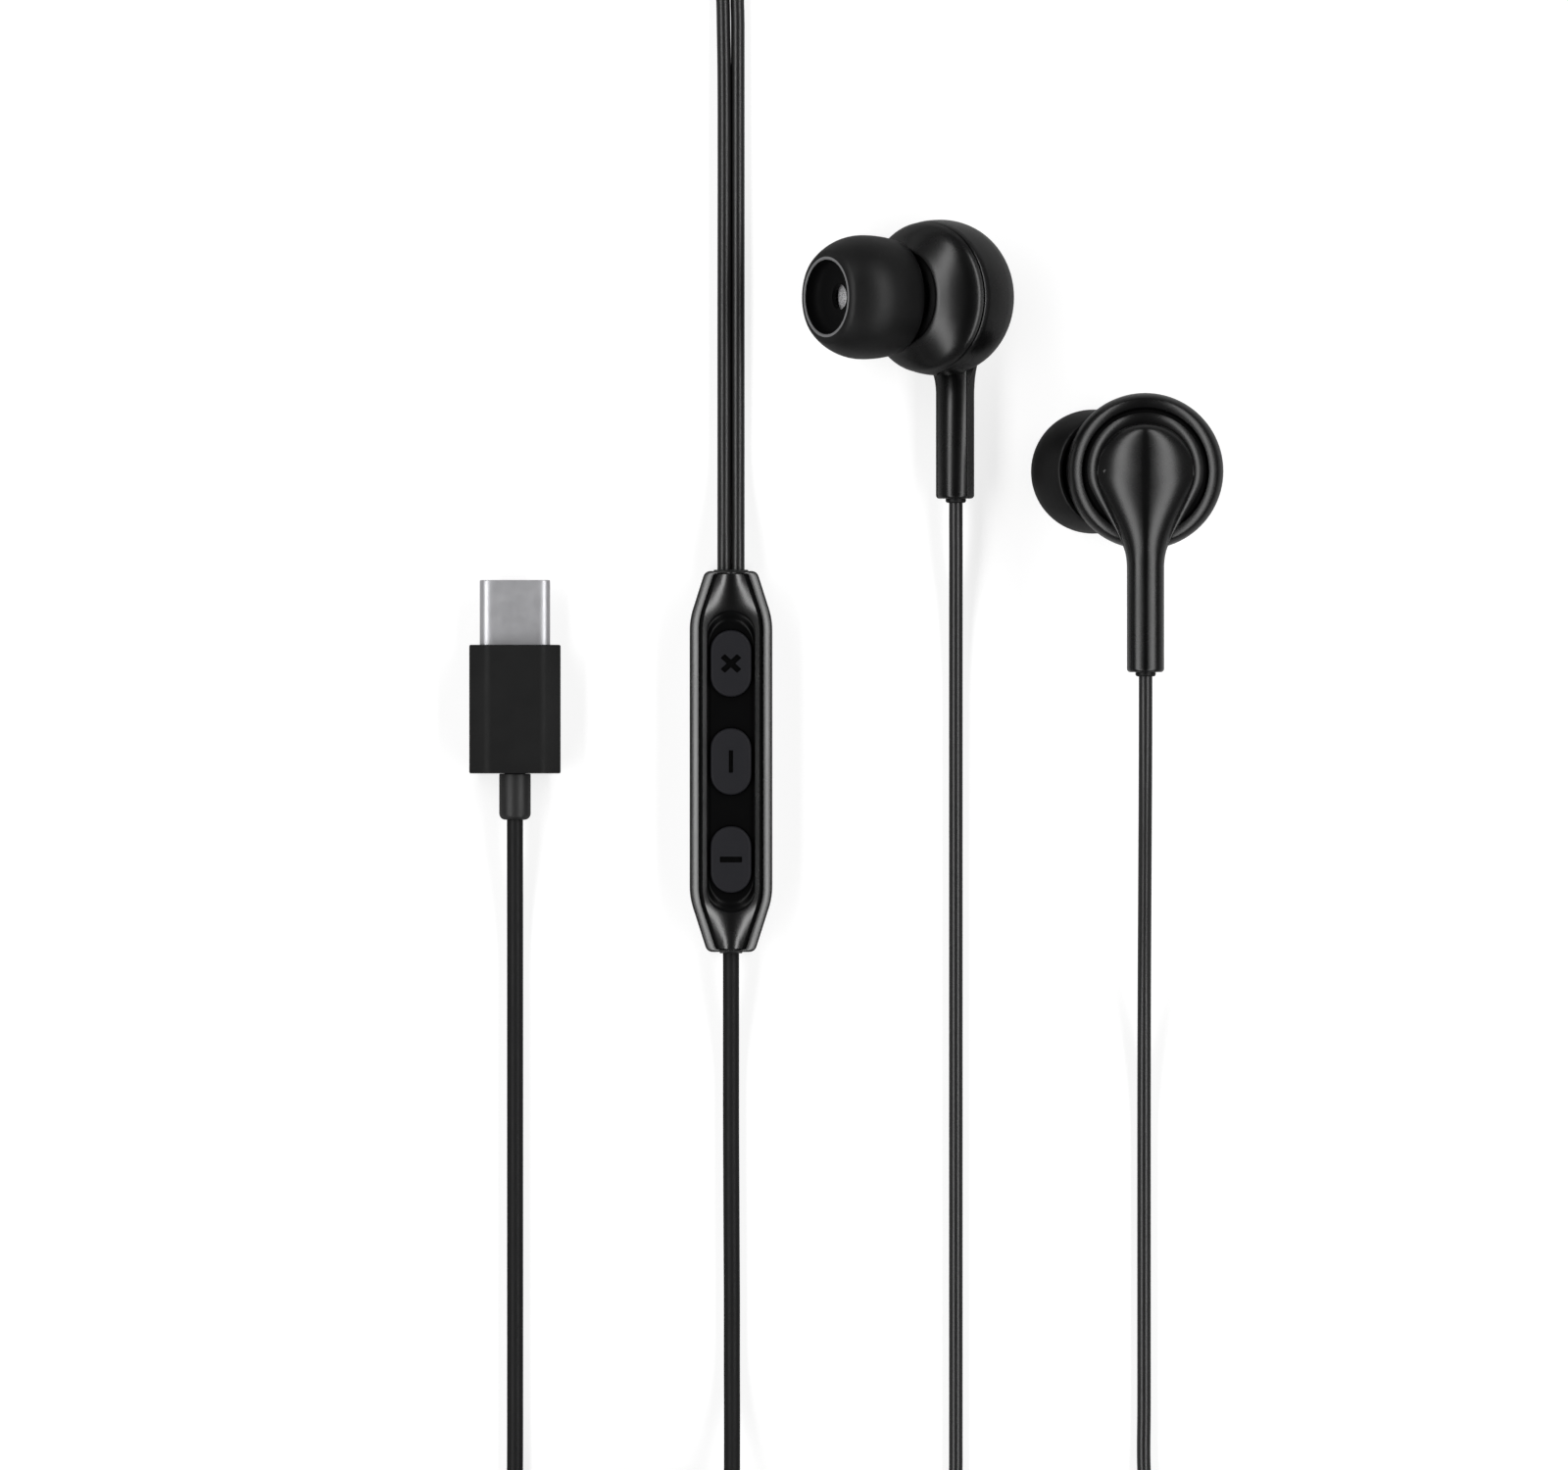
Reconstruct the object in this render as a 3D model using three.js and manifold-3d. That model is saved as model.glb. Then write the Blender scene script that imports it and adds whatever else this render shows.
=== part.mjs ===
// Wired in-ear earphones: two mirrored earbuds, an in-line remote and a flat plug, laid on a table.
// Millimetres, +Z up. The origin lies on the table, under the middle of the remote and the earbuds.

import * as THREE from 'three';
import { mergeVertices } from 'three/addons/utils/BufferGeometryUtils.js';
import Module from 'manifold-3d';

const wasm = await Module();
wasm.setup();

// Clearances
const GAP = 0.3;
const HALF_GAP = GAP / 2;

// Round stretches
const HOUSING_SIDES = 24;
const SMALL_SIDES = 16;
const PIN_SIDES = 8;

// Earbud housing. Its own axes are x toward the side that the nozzle leans to, y up and away from
// the stem, and z into the ear. The housing is widest at z = 0.
const HOUSING_RADIUS = 9.15;
const HOUSING_WALL = 1.0;
const REAR_FACE_RADIUS = 7.45;
const REAR_FACE_DEPTH = 3.2;
const SHOULDER_DEPTH = 0.4;
const SHOULDER_STEPS = 4;
const PLATE_THICKNESS = 0.8;
const PLATE_LEDGE_WIDTH = 0.55;
const PLATE_LEDGE_THICKNESS = 0.6;
const WIRE_HOLE_RADIUS = 1.6;

// The seam between the front shell and the rear ring leans toward the nozzle's side
const SEAM_STEP = 0.3;
const SEAM = { x: 0.4, z: 2.4, lean: 10, radius: HOUSING_RADIUS - SEAM_STEP };

// Nozzle and ear tip. The nozzle's own axis starts at the plane of the tip's open rim.
const NOZZLE_LEAN = 26.5;
const NOZZLE_INSET = 5.03;
const NOZZLE_FOOT = { x: HOUSING_RADIUS - NOZZLE_INSET, z: 3.72 };
const NOZZLE_LENGTH = 7.0;
const NOZZLE_RADIUS = 2.5;
const NOZZLE_LIP_RADIUS = 2.9;
const NOZZLE_BORE_RADIUS = 1.75;
const MESH_RADIUS = 1.9;
const MESH_THICKNESS = 0.3;
const TIP_LENGTH = 9.4;
const TIP_RADIUS = 7.28;
const TIP_RIM_RADIUS = 7.1;
const TIP_WIDEST_AT = 4.0;
const TIP_MOUTH_RADIUS = 4.9;
const TIP_DISH_RADIUS = 4.3;
const TIP_SKIRT_WALL = 0.55;
const TIP_SLEEVE_WALL = 0.8;
const TIP_SLEEVE_START = 1.9;
const TIP_BORE_RADIUS = 1.65;
const TIP_DISH_DEPTH = 1.1;

// Stem and drop-shaped back cover
const STEM_RADIUS = 2.15;
const STEM_AXIS_DEPTH = 4.2;
const STEM_END = 23.55;
const STEM_CHANNEL_RADIUS = 1.2;
const STEM_CHAMFER = 0.35;
const DROP_RADIUS = 5.6;
const BUSH_RADIUS = 1.7;
const BUSH_THICKNESS = 0.5;
const BUSH_NECK_LENGTH = 1.8;

// Speaker inside each housing
const YOKE_RADIUS = 4.2;
const YOKE_WALL = 0.6;
const YOKE_HEIGHT = 2.4;
const TERMINAL_BOARD = { width: 5, length: 3, thickness: 0.5, y: -2 };
const MAGNET_RADIUS = 2.4;
const MAGNET_HEIGHT = 1.0;
const TOP_PLATE_HEIGHT = 0.4;
const COIL_WALL = 0.35;
const COIL_HEIGHT = 1.4;
const DIAPHRAGM_RADIUS = 5.7;
const DIAPHRAGM_THICKNESS = 0.25;
const DIAPHRAGM_DOME = 0.5;
const BASKET_RADIUS = 6.0;
const BASKET_THICKNESS = 0.6;

// Remote, long along y, lying on its back
const REMOTE_LENGTH = 44.7;
const REMOTE_WIDTH = 9.7;
const REMOTE_HEIGHT = 6.6;
const REMOTE_SPLIT = 3.3;
const REMOTE_WALL = 1.1;
const REMOTE_TOP_TAPER = 5.65;
const REMOTE_BOTTOM_TAPER = 6.4;
const REMOTE_TOP_END_WIDTH = 6.1;
const REMOTE_BOTTOM_END_WIDTH = 5.6;
const REMOTE_CORNER = 0.65;
const REMOTE_FACET_WIDTH = 1.0;
const REMOTE_FACET_HEIGHT = 1.3;
const REMOTE_FLOOR = 1.0;
const RECESS_WIDTH = 5.4;
const RECESS_LENGTH = 33.9;
const RECESS_DEPTH = 0.85;
const BUTTON_WIDTH = 4.8;
const BUTTON_LENGTH = 7.85;
const BUTTON_PITCH = 11.5;
const BUTTON_SINK = 0.25;
const BUTTON_FLANGE = 0.5;
const BUTTON_FLANGE_THICKNESS = 0.5;
const BUTTON_TRAVEL = 0.35;
const ROOF_THICKNESS = 0.65;
const REMOTE_BOARD_THICKNESS = 0.6;
const SWITCH_SIZE = 3.0;
const SWITCH_HEIGHT = 1.1;
const PLUNGER_RADIUS = 0.8;
const MICROPHONE_SIZE = { width: 2.6, length: 1.9, height: 0.9 };
const MICROPHONE_HOLE_RADIUS = 0.45;
const CLAMP_LENGTH = 3.2;
const CLAMP_FLANGE = 0.5;
const CLAMP_FLANGE_LENGTH = 0.9;

// Plug, pointing along +y, lying flat
const PLUG_SHELL_WIDTH = 8.25;
const PLUG_SHELL_HEIGHT = 2.4;
const PLUG_SHELL_REACH = 7.6;
const PLUG_SHELL_ROOT = 3.0;
const PLUG_SHELL_WALL = 0.3;
const PLUG_BODY_WIDTH = 10.7;
const PLUG_BODY_HEIGHT = 6.0;
const PLUG_BODY_LENGTH = 15.1;
const PLUG_BODY_WALL = 1.1;
const PLUG_BEVEL_WIDTH = 2.1;
const PLUG_BEVEL_HEIGHT = 1.3;
const CONTACT_THICKNESS = 0.2;
const CONTACT_COUNT = 12;
const CONTACT_PITCH = 0.5;
const CONTACT_WIDTH = 0.26;
const CONTACT_LENGTH = 5.2;
const TONGUE_SLOT = 0.9;
const PLUG_BOARD = { width: 6.8, length: 8.6, thickness: 0.8 };
const CHIP = { width: 4.0, length: 4.0, height: 0.6 };
const RELIEF_RADIUS = 1.85;
const RELIEF_LENGTH = 5.4;
const RELIEF_NECK_RADIUS = 1.0;
const RELIEF_NECK_LENGTH = 1.6;

// Cords
const MAIN_CORD = 1.9;
const EAR_CORD = 1.6;
const CORD_SIDES = 8;
const EAR_CORD_REST = 0.84;
const EAR_CORD_STEPS = 64;
const MAIN_CORD_STEPS = 22;
const BEND_STEPS = 4;

// Coil of the length that lies past the edge of the view
const LOOP_STEPS = 24;
const LOOP_SIDES = 6;
const COIL_TURNS = 7.5;
const COIL_LAYERS = 4;
const COIL_OUTER_RADIUS = 12.75;
const COIL_PITCH = 2.4;
const COIL_LAYER_RISE = 2.4;
const TIE_WIDTH = 3.0;
const TIE_THICKNESS = 0.6;
const TIE_HUMP_HALF_ANGLE = 60;

// Places on the table, from the photograph at 0.115 mm a pixel
const RIGHT_EARBUD = { x: -2.05, y: 33.8, turn: -29 };
const LEFT_EARBUD = { x: 22.1, y: 13.4, turn: 180 };
const REMOTE = { x: -26.4, y: -20.6 };
const PLUG = { x: -51.76, y: -6.9 };
const COIL = { x: -39.03, y: -118.0 };

const degrees = THREE.MathUtils.degToRad;

// Materials
const finish = (color, roughness, metalness = 0) =>
  new THREE.MeshStandardMaterial({ color, roughness, metalness });
const glossBlack = finish(0x0c0d0f, 0.12);
const satinBlack = finish(0x17181a, 0.4);
const silicone = finish(0x1b1c1e, 0.7);
const buttonRubber = finish(0x232328, 0.55);
const cordSkin = finish(0x161719, 0.45);
const plugRubber = finish(0x222424, 0.6);
const nickel = finish(0xb9bcc0, 0.25, 1);
const gold = finish(0xd0a850, 0.3, 1);
const darkSteel = finish(0x6d7074, 0.35, 1);
const copper = finish(0xb06a3c, 0.4, 1);
const boardGreen = finish(0x1d4a2c, 0.5);
const chipBlack = finish(0x202022, 0.5);
const amberFilm = finish(0xa08a5a, 0.3);
const tiePlastic = finish(0x101112, 0.5);

// Shared shapes

// One closed surface: shared vertices merged, collapsed triangles dropped, faces pointing out
function closed(geometry) {
  const bare = geometry.clone();
  bare.deleteAttribute('normal');
  bare.deleteAttribute('uv');
  const merged = mergeVertices(bare, 1e-5);
  const place = merged.attributes.position;
  const corner = [new THREE.Vector3(), new THREE.Vector3(), new THREE.Vector3()];
  const kept = [];
  let volume = 0;
  for (let i = 0; i < merged.index.count; i += 3) {
    const [a, b, c] = [0, 1, 2].map((k) => merged.index.getX(i + k));
    if (a === b || b === c || c === a) continue;
    kept.push([a, b, c]);
    corner[0].fromBufferAttribute(place, a);
    corner[1].fromBufferAttribute(place, b);
    corner[2].fromBufferAttribute(place, c);
    volume += corner[0].dot(corner[1].cross(corner[2]));
  }
  merged.setIndex(kept.flatMap(([a, b, c]) => (volume < 0 ? [a, c, b] : [a, b, c])));
  return merged;
}

// A surface through rings of points, each ring a list of the same length. It is closed by a flat
// cap at each end, or by joining the last ring to the first.
function loft(rings, joined = false) {
  const count = rings[0].length;
  const places = rings.flat();
  const faces = [];
  const strips = joined ? rings.length : rings.length - 1;
  for (let ring = 0; ring < strips; ring++) {
    const near = ring * count;
    const far = ((ring + 1) % rings.length) * count;
    for (let i = 0; i < count; i++) {
      const next = (i + 1) % count;
      faces.push(near + i, near + next, far + next);
      faces.push(near + i, far + next, far + i);
    }
  }
  if (!joined) {
    const last = (rings.length - 1) * count;
    for (let i = 1; i < count - 1; i++) {
      faces.push(0, i + 1, i);
      faces.push(last, last + i, last + i + 1);
    }
  }
  const geometry = new THREE.BufferGeometry().setFromPoints(places);
  geometry.setIndex(faces);
  return closed(geometry);
}

// A circle of points round (x, 0, z), its axis leaning from z toward x
function leaningCircle(x, z, lean, radius, sides = HOUSING_SIDES) {
  const across = new THREE.Vector3(Math.cos(degrees(lean)), 0, -Math.sin(degrees(lean)));
  const ring = [];
  for (let i = 0; i < sides; i++) {
    const angle = (2 * Math.PI * i) / sides;
    const point = new THREE.Vector3(x, radius * Math.sin(angle), z);
    ring.push(point.addScaledVector(across, radius * Math.cos(angle)));
  }
  return ring;
}

// A rounded rectangle of points at one height
function roundedRing(width, length, z, radius, steps = 4) {
  const reachX = width / 2 - radius;
  const reachY = length / 2 - radius;
  const ring = [];
  for (let corner = 0; corner < 4; corner++) {
    const signX = corner === 0 || corner === 3 ? 1 : -1;
    const signY = corner < 2 ? 1 : -1;
    for (let i = 0; i <= steps; i++) {
      const angle = ((corner + i / steps) * Math.PI) / 2;
      const x = signX * reachX + radius * Math.cos(angle);
      const y = signY * reachY + radius * Math.sin(angle);
      ring.push(new THREE.Vector3(x, y, z));
    }
  }
  return ring;
}

// A turned piece about z, from a list of [radius, z]
function turned(profile, sides = HOUSING_SIDES) {
  const points = profile.map(([radius, z]) => new THREE.Vector2(radius, z));
  const geometry = new THREE.LatheGeometry(points, sides);
  geometry.rotateX(Math.PI / 2);
  return closed(geometry);
}

// A turned piece with a hole: the profile closes on itself
const turnedRing = (profile, sides) => turned([...profile, profile[0]], sides);

// A box by its middle in x and y and its lower face
function block(width, length, height, x, y, bottom) {
  const geometry = new THREE.BoxGeometry(width, length, height);
  geometry.translate(x, y, bottom + height / 2);
  return closed(geometry);
}

// A round pin along y, from one y to a larger one
function pinAlongY(radius, from, to, z, sides = SMALL_SIDES) {
  const geometry = new THREE.CylinderGeometry(radius, radius, to - from, sides);
  geometry.translate(0, (from + to) / 2, z);
  return closed(geometry);
}

// Points +z of a piece made along z toward +y
const towardY = (geometry) => geometry.rotateX(-Math.PI / 2);

function toManifold(geometry) {
  const vertProperties = new Float32Array(geometry.attributes.position.array);
  const triVerts = new Uint32Array(geometry.index.array);
  return new wasm.Manifold(new wasm.Mesh({ numProp: 3, vertProperties, triVerts }));
}

function toGeometry(manifold) {
  const mesh = manifold.getMesh();
  const geometry = new THREE.BufferGeometry();
  geometry.setAttribute('position', new THREE.BufferAttribute(mesh.vertProperties, 3));
  geometry.setIndex(new THREE.BufferAttribute(mesh.triVerts, 1));
  return geometry;
}

function cut(geometry, ...tools) {
  let rest = toManifold(geometry);
  for (const tool of tools) {
    rest = rest.subtract(toManifold(tool));
  }
  return toGeometry(rest);
}

function keepInside(geometry, limit) {
  return toGeometry(toManifold(geometry).intersect(toManifold(limit)));
}

function joinSolids(geometry, other) {
  return toGeometry(toManifold(geometry).add(toManifold(other)));
}

function piece(name, geometry, material) {
  const mesh = new THREE.Mesh(geometry, material);
  mesh.name = name;
  return mesh;
}

// Earbud

const splitDepth = REAR_FACE_DEPTH + GAP;
const dropCrown = STEM_AXIS_DEPTH + STEM_RADIUS - splitDepth;

// A ring on the seam's plane, moved along its axis
function seamRing(radius, along) {
  const lean = degrees(SEAM.lean);
  const x = SEAM.x + along * Math.sin(lean);
  const z = SEAM.z + along * Math.cos(lean);
  return leaningCircle(x, z, SEAM.lean, radius);
}

// A ring round the nozzle's axis, at a distance from its foot
function nozzleRing(radius, along) {
  const lean = degrees(NOZZLE_LEAN);
  const x = NOZZLE_FOOT.x + along * Math.sin(lean);
  const z = NOZZLE_FOOT.z + along * Math.cos(lean);
  return leaningCircle(x, z, NOZZLE_LEAN, radius);
}

// The ring between the front shell and the back plate, its rear edge rounded, with an inner ledge
// that the plate lies on
function rearRing() {
  const rings = [seamRing(SEAM.radius, -HALF_GAP), leaningCircle(0, 0, 0, HOUSING_RADIUS)];
  for (let i = 0; i <= SHOULDER_STEPS; i++) {
    const angle = (i / SHOULDER_STEPS) * (Math.PI / 2);
    const radius = REAR_FACE_RADIUS + (HOUSING_RADIUS - REAR_FACE_RADIUS) * Math.cos(angle);
    const depth = SHOULDER_DEPTH + (REAR_FACE_DEPTH - SHOULDER_DEPTH) * Math.sin(angle);
    rings.push(leaningCircle(0, -depth, 0, radius));
  }
  const ledgeDepth = REAR_FACE_DEPTH - PLATE_THICKNESS - GAP;
  const ledgeRadius = REAR_FACE_RADIUS - PLATE_LEDGE_WIDTH;
  const ledgeTop = ledgeDepth - PLATE_LEDGE_THICKNESS;
  rings.push(leaningCircle(0, -ledgeDepth, 0, REAR_FACE_RADIUS));
  rings.push(leaningCircle(0, -ledgeDepth, 0, ledgeRadius));
  rings.push(leaningCircle(0, -ledgeTop, 0, ledgeRadius));
  rings.push(leaningCircle(0, -ledgeTop, 0, HOUSING_RADIUS - HOUSING_WALL));
  rings.push(seamRing(SEAM.radius - HOUSING_WALL, -HALF_GAP));
  return loft(rings, true);
}

function rearPlate() {
  const radius = REAR_FACE_RADIUS - GAP;
  const inner = PLATE_THICKNESS - REAR_FACE_DEPTH;
  return turnedRing([
    [WIRE_HOLE_RADIUS, -REAR_FACE_DEPTH],
    [radius, -REAR_FACE_DEPTH],
    [radius, inner],
    [WIRE_HOLE_RADIUS, inner],
  ]);
}

// Front shell: a low dome, a round foot and the angled nozzle, all hollow
function frontShell() {
  const outer = [
    seamRing(SEAM.radius, HALF_GAP),
    seamRing(SEAM.radius - 0.6, 0.7),
    leaningCircle(0.9, 3.75, 13, 6.6),
    leaningCircle(2.2, 4.7, 17, 5.4),
    nozzleRing(NOZZLE_RADIUS + 0.8, 1.3),
    nozzleRing(NOZZLE_RADIUS, 2.0),
    nozzleRing(NOZZLE_RADIUS, NOZZLE_LENGTH - 1.8),
    nozzleRing(NOZZLE_LIP_RADIUS, NOZZLE_LENGTH - 1.5),
    nozzleRing(NOZZLE_LIP_RADIUS, NOZZLE_LENGTH - 0.8),
    nozzleRing(NOZZLE_RADIUS, NOZZLE_LENGTH),
  ];
  const meshSeat = MESH_THICKNESS + 2 * GAP;
  const inner = [
    nozzleRing(MESH_RADIUS + GAP, NOZZLE_LENGTH),
    nozzleRing(MESH_RADIUS + GAP, NOZZLE_LENGTH - meshSeat),
    nozzleRing(NOZZLE_BORE_RADIUS, NOZZLE_LENGTH - meshSeat),
    nozzleRing(NOZZLE_BORE_RADIUS, 1.6),
    nozzleRing(NOZZLE_BORE_RADIUS + 0.85, 0.8),
    leaningCircle(2.0, 3.8, 17, 4.3),
    leaningCircle(0.9, 3.1, 13, 5.6),
    seamRing(SEAM.radius - HOUSING_WALL - 0.85, 0.5),
    seamRing(SEAM.radius - HOUSING_WALL, HALF_GAP),
  ];
  return loft([...outer, ...inner], true);
}

function nozzleMesh() {
  const bottom = NOZZLE_LENGTH - MESH_THICKNESS - GAP;
  return turned(
    [
      [0, bottom],
      [MESH_RADIUS, bottom],
      [MESH_RADIUS, bottom + MESH_THICKNESS],
      [0, bottom + MESH_THICKNESS],
    ],
    SMALL_SIDES,
  );
}

// Ear tip: a domed skirt, a dished mouth and an inner sleeve that grips the nozzle
function earTip() {
  const web = NOZZLE_LENGTH + GAP;
  const sleeve = NOZZLE_LIP_RADIUS + GAP;
  const domeLength = TIP_LENGTH - TIP_WIDEST_AT;
  const domeReach = domeLength / Math.sqrt(1 - (TIP_MOUTH_RADIUS / TIP_RADIUS) ** 2);
  const profile = [
    [TIP_RIM_RADIUS - TIP_SKIRT_WALL, 0],
    [TIP_RIM_RADIUS, 0],
  ];
  const domeSteps = 5;
  for (let i = 0; i < domeSteps; i++) {
    const along = (i / domeSteps) * domeLength;
    profile.push([TIP_RADIUS * Math.sqrt(1 - (along / domeReach) ** 2), TIP_WIDEST_AT + along]);
  }
  profile.push([TIP_MOUTH_RADIUS, TIP_LENGTH - 0.15]);
  profile.push([TIP_MOUTH_RADIUS - 0.2, TIP_LENGTH]);
  profile.push([TIP_DISH_RADIUS + 0.1, TIP_LENGTH]);
  profile.push([TIP_DISH_RADIUS - 0.6, TIP_LENGTH - TIP_DISH_DEPTH]);
  profile.push([TIP_BORE_RADIUS + 0.7, web + 0.4]);
  profile.push([TIP_BORE_RADIUS, web + 0.3]);
  profile.push([TIP_BORE_RADIUS, web]);
  profile.push([sleeve, web]);
  profile.push([sleeve, TIP_SLEEVE_START]);
  profile.push([sleeve + TIP_SLEEVE_WALL, TIP_SLEEVE_START]);
  profile.push([sleeve + TIP_SLEEVE_WALL, web - 0.4]);
  profile.push([TIP_RADIUS - 1.9, web - 0.4]);
  profile.push([TIP_RADIUS - TIP_SKIRT_WALL, TIP_WIDEST_AT]);
  return turnedRing(profile);
}

// Half the width of the drop-shaped cover: a round head, then a smooth taper into the stem
function dropHalfWidth(y) {
  const start = -0.34 * DROP_RADIUS;
  const end = -2.02 * DROP_RADIUS;
  if (y >= start) return Math.sqrt(DROP_RADIUS ** 2 - y ** 2);
  if (y <= end) return STEM_RADIUS;
  const width = Math.sqrt(DROP_RADIUS ** 2 - start ** 2);
  const slope = (start / width) * (start - end);
  const t = (start - y) / (start - end);
  const fromHead = (2 * t ** 3 - 3 * t ** 2 + 1) * width + (t ** 3 - 2 * t ** 2 + t) * slope;
  return fromHead + (3 * t ** 2 - 2 * t ** 3) * STEM_RADIUS;
}

// A half-round section of the back cover, flat toward the housing
function coverSection(y, halfWidth, crown) {
  const steps = 9;
  const ring = [];
  for (let i = 0; i <= steps; i++) {
    const angle = (i / steps) * Math.PI;
    const depth = splitDepth + crown * Math.sin(angle);
    ring.push(new THREE.Vector3(halfWidth * Math.cos(angle), y, -depth));
  }
  return ring;
}

// The cord's channel in the stem, open toward the housing down to the given depth
function stemChannel(openDepth) {
  const top = STEM_CHANNEL_RADIUS;
  const bottom = -STEM_END - 1;
  const bore = pinAlongY(STEM_CHANNEL_RADIUS, bottom, top, -STEM_AXIS_DEPTH, PIN_SIDES);
  const height = STEM_AXIS_DEPTH - openDepth;
  const width = 1.6 * STEM_CHANNEL_RADIUS;
  const slot = block(width, top - bottom, height, 0, (top + bottom) / 2, -STEM_AXIS_DEPTH);
  return joinSolids(bore, slot);
}

function backCover() {
  const rings = [];
  for (const angle of [8, 25, 45, 65, 90]) {
    const y = DROP_RADIUS * Math.cos(degrees(angle));
    const crown = dropCrown * Math.sqrt(Math.sin(degrees(angle)));
    rings.push(coverSection(y, dropHalfWidth(y), crown));
  }
  for (const share of [0.34, 0.7, 1.05, 1.4, 1.75, 2.02]) {
    const y = -share * DROP_RADIUS;
    rings.push(coverSection(y, dropHalfWidth(y), dropCrown));
  }
  rings.push(coverSection(STEM_CHAMFER - STEM_END, STEM_RADIUS, dropCrown));
  rings.push(coverSection(-STEM_END, STEM_RADIUS - STEM_CHAMFER, dropCrown - STEM_CHAMFER));
  return cut(loft(rings), stemChannel(splitDepth - GAP));
}

// The front half of the stem, from just under the housing to the stem's end
function stemFront() {
  const top = -HOUSING_RADIUS - GAP;
  const rod = pinAlongY(STEM_RADIUS, -STEM_END, top, -STEM_AXIS_DEPTH);
  const width = 2 * STEM_RADIUS + 1;
  const length = STEM_END + top + 2;
  const front = block(width, length, STEM_AXIS_DEPTH, 0, (top - STEM_END) / 2, -REAR_FACE_DEPTH);
  const bore = pinAlongY(STEM_CHANNEL_RADIUS, -STEM_END - 1, top + 1, -STEM_AXIS_DEPTH, PIN_SIDES);
  return cut(keepInside(rod, front), bore);
}

// The bush at the stem's end: a flange outside and a neck in the channel, made along z
function cordBush() {
  const neck = STEM_CHANNEL_RADIUS - GAP;
  const profile = [
    [0, -BUSH_THICKNESS],
    [BUSH_RADIUS - 0.2, -BUSH_THICKNESS],
    [BUSH_RADIUS, -BUSH_THICKNESS + 0.2],
    [BUSH_RADIUS, 0],
    [neck * 0.85, 0],
    [neck * 0.85, BUSH_NECK_LENGTH],
    [0, BUSH_NECK_LENGTH],
  ];
  const geometry = towardY(turned(profile, SMALL_SIDES));
  return geometry.translate(0, -STEM_END - GAP, -STEM_AXIS_DEPTH);
}

// The speaker's pieces, stacked from the back plate forward
const plateFront = PLATE_THICKNESS - REAR_FACE_DEPTH;
const terminalBack = plateFront + GAP;
const yokeBack = terminalBack + TERMINAL_BOARD.thickness + GAP;
const magnetBack = yokeBack + YOKE_WALL + GAP;
const topPlateBack = magnetBack + MAGNET_HEIGHT + GAP;
const basketFront = topPlateBack + TOP_PLATE_HEIGHT + 0.2;
const basketBack = basketFront - COIL_HEIGHT - 0.1;
const diaphragmBack = basketFront + GAP;

function yokeCup() {
  const inner = YOKE_RADIUS - YOKE_WALL;
  const front = yokeBack + YOKE_HEIGHT;
  return turned(
    [
      [0, yokeBack],
      [YOKE_RADIUS, yokeBack],
      [YOKE_RADIUS, front],
      [inner, front],
      [inner, yokeBack + YOKE_WALL],
      [0, yokeBack + YOKE_WALL],
    ],
    SMALL_SIDES,
  );
}

function disc(radius, back, height) {
  const profile = [
    [0, back],
    [radius, back],
    [radius, back + height],
    [0, back + height],
  ];
  return turned(profile, SMALL_SIDES);
}

function terminalBoard() {
  const { width, length, thickness, y } = TERMINAL_BOARD;
  return block(width, length, thickness, 0, y, terminalBack);
}

function voiceCoil() {
  const inner = MAGNET_RADIUS + GAP + 0.1;
  const back = basketFront - COIL_HEIGHT;
  const profile = [
    [inner, back],
    [inner + COIL_WALL, back],
    [inner + COIL_WALL, basketFront],
    [inner, basketFront],
  ];
  return turnedRing(profile, SMALL_SIDES);
}

// The basket: a flange in the housing and a rim that carries the diaphragm
function driverBasket() {
  const flange = SEAM.radius - HOUSING_WALL - GAP;
  const seat = YOKE_RADIUS + GAP;
  const rim = BASKET_RADIUS - 0.7;
  return turnedRing([
    [seat, basketBack],
    [flange, basketBack],
    [flange, basketBack + BASKET_THICKNESS],
    [BASKET_RADIUS, basketBack + BASKET_THICKNESS],
    [BASKET_RADIUS, basketFront],
    [rim, basketFront],
    [rim, basketBack + BASKET_THICKNESS],
    [seat, basketBack + BASKET_THICKNESS],
  ]);
}

function diaphragm() {
  const crown = diaphragmBack + DIAPHRAGM_DOME;
  const crease = MAGNET_RADIUS + 0.7;
  return turned([
    [0, crown],
    [crease, diaphragmBack],
    [DIAPHRAGM_RADIUS, diaphragmBack],
    [DIAPHRAGM_RADIUS, diaphragmBack + DIAPHRAGM_THICKNESS],
    [crease, diaphragmBack + DIAPHRAGM_THICKNESS],
    [0, crown + DIAPHRAGM_THICKNESS],
  ]);
}

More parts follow.
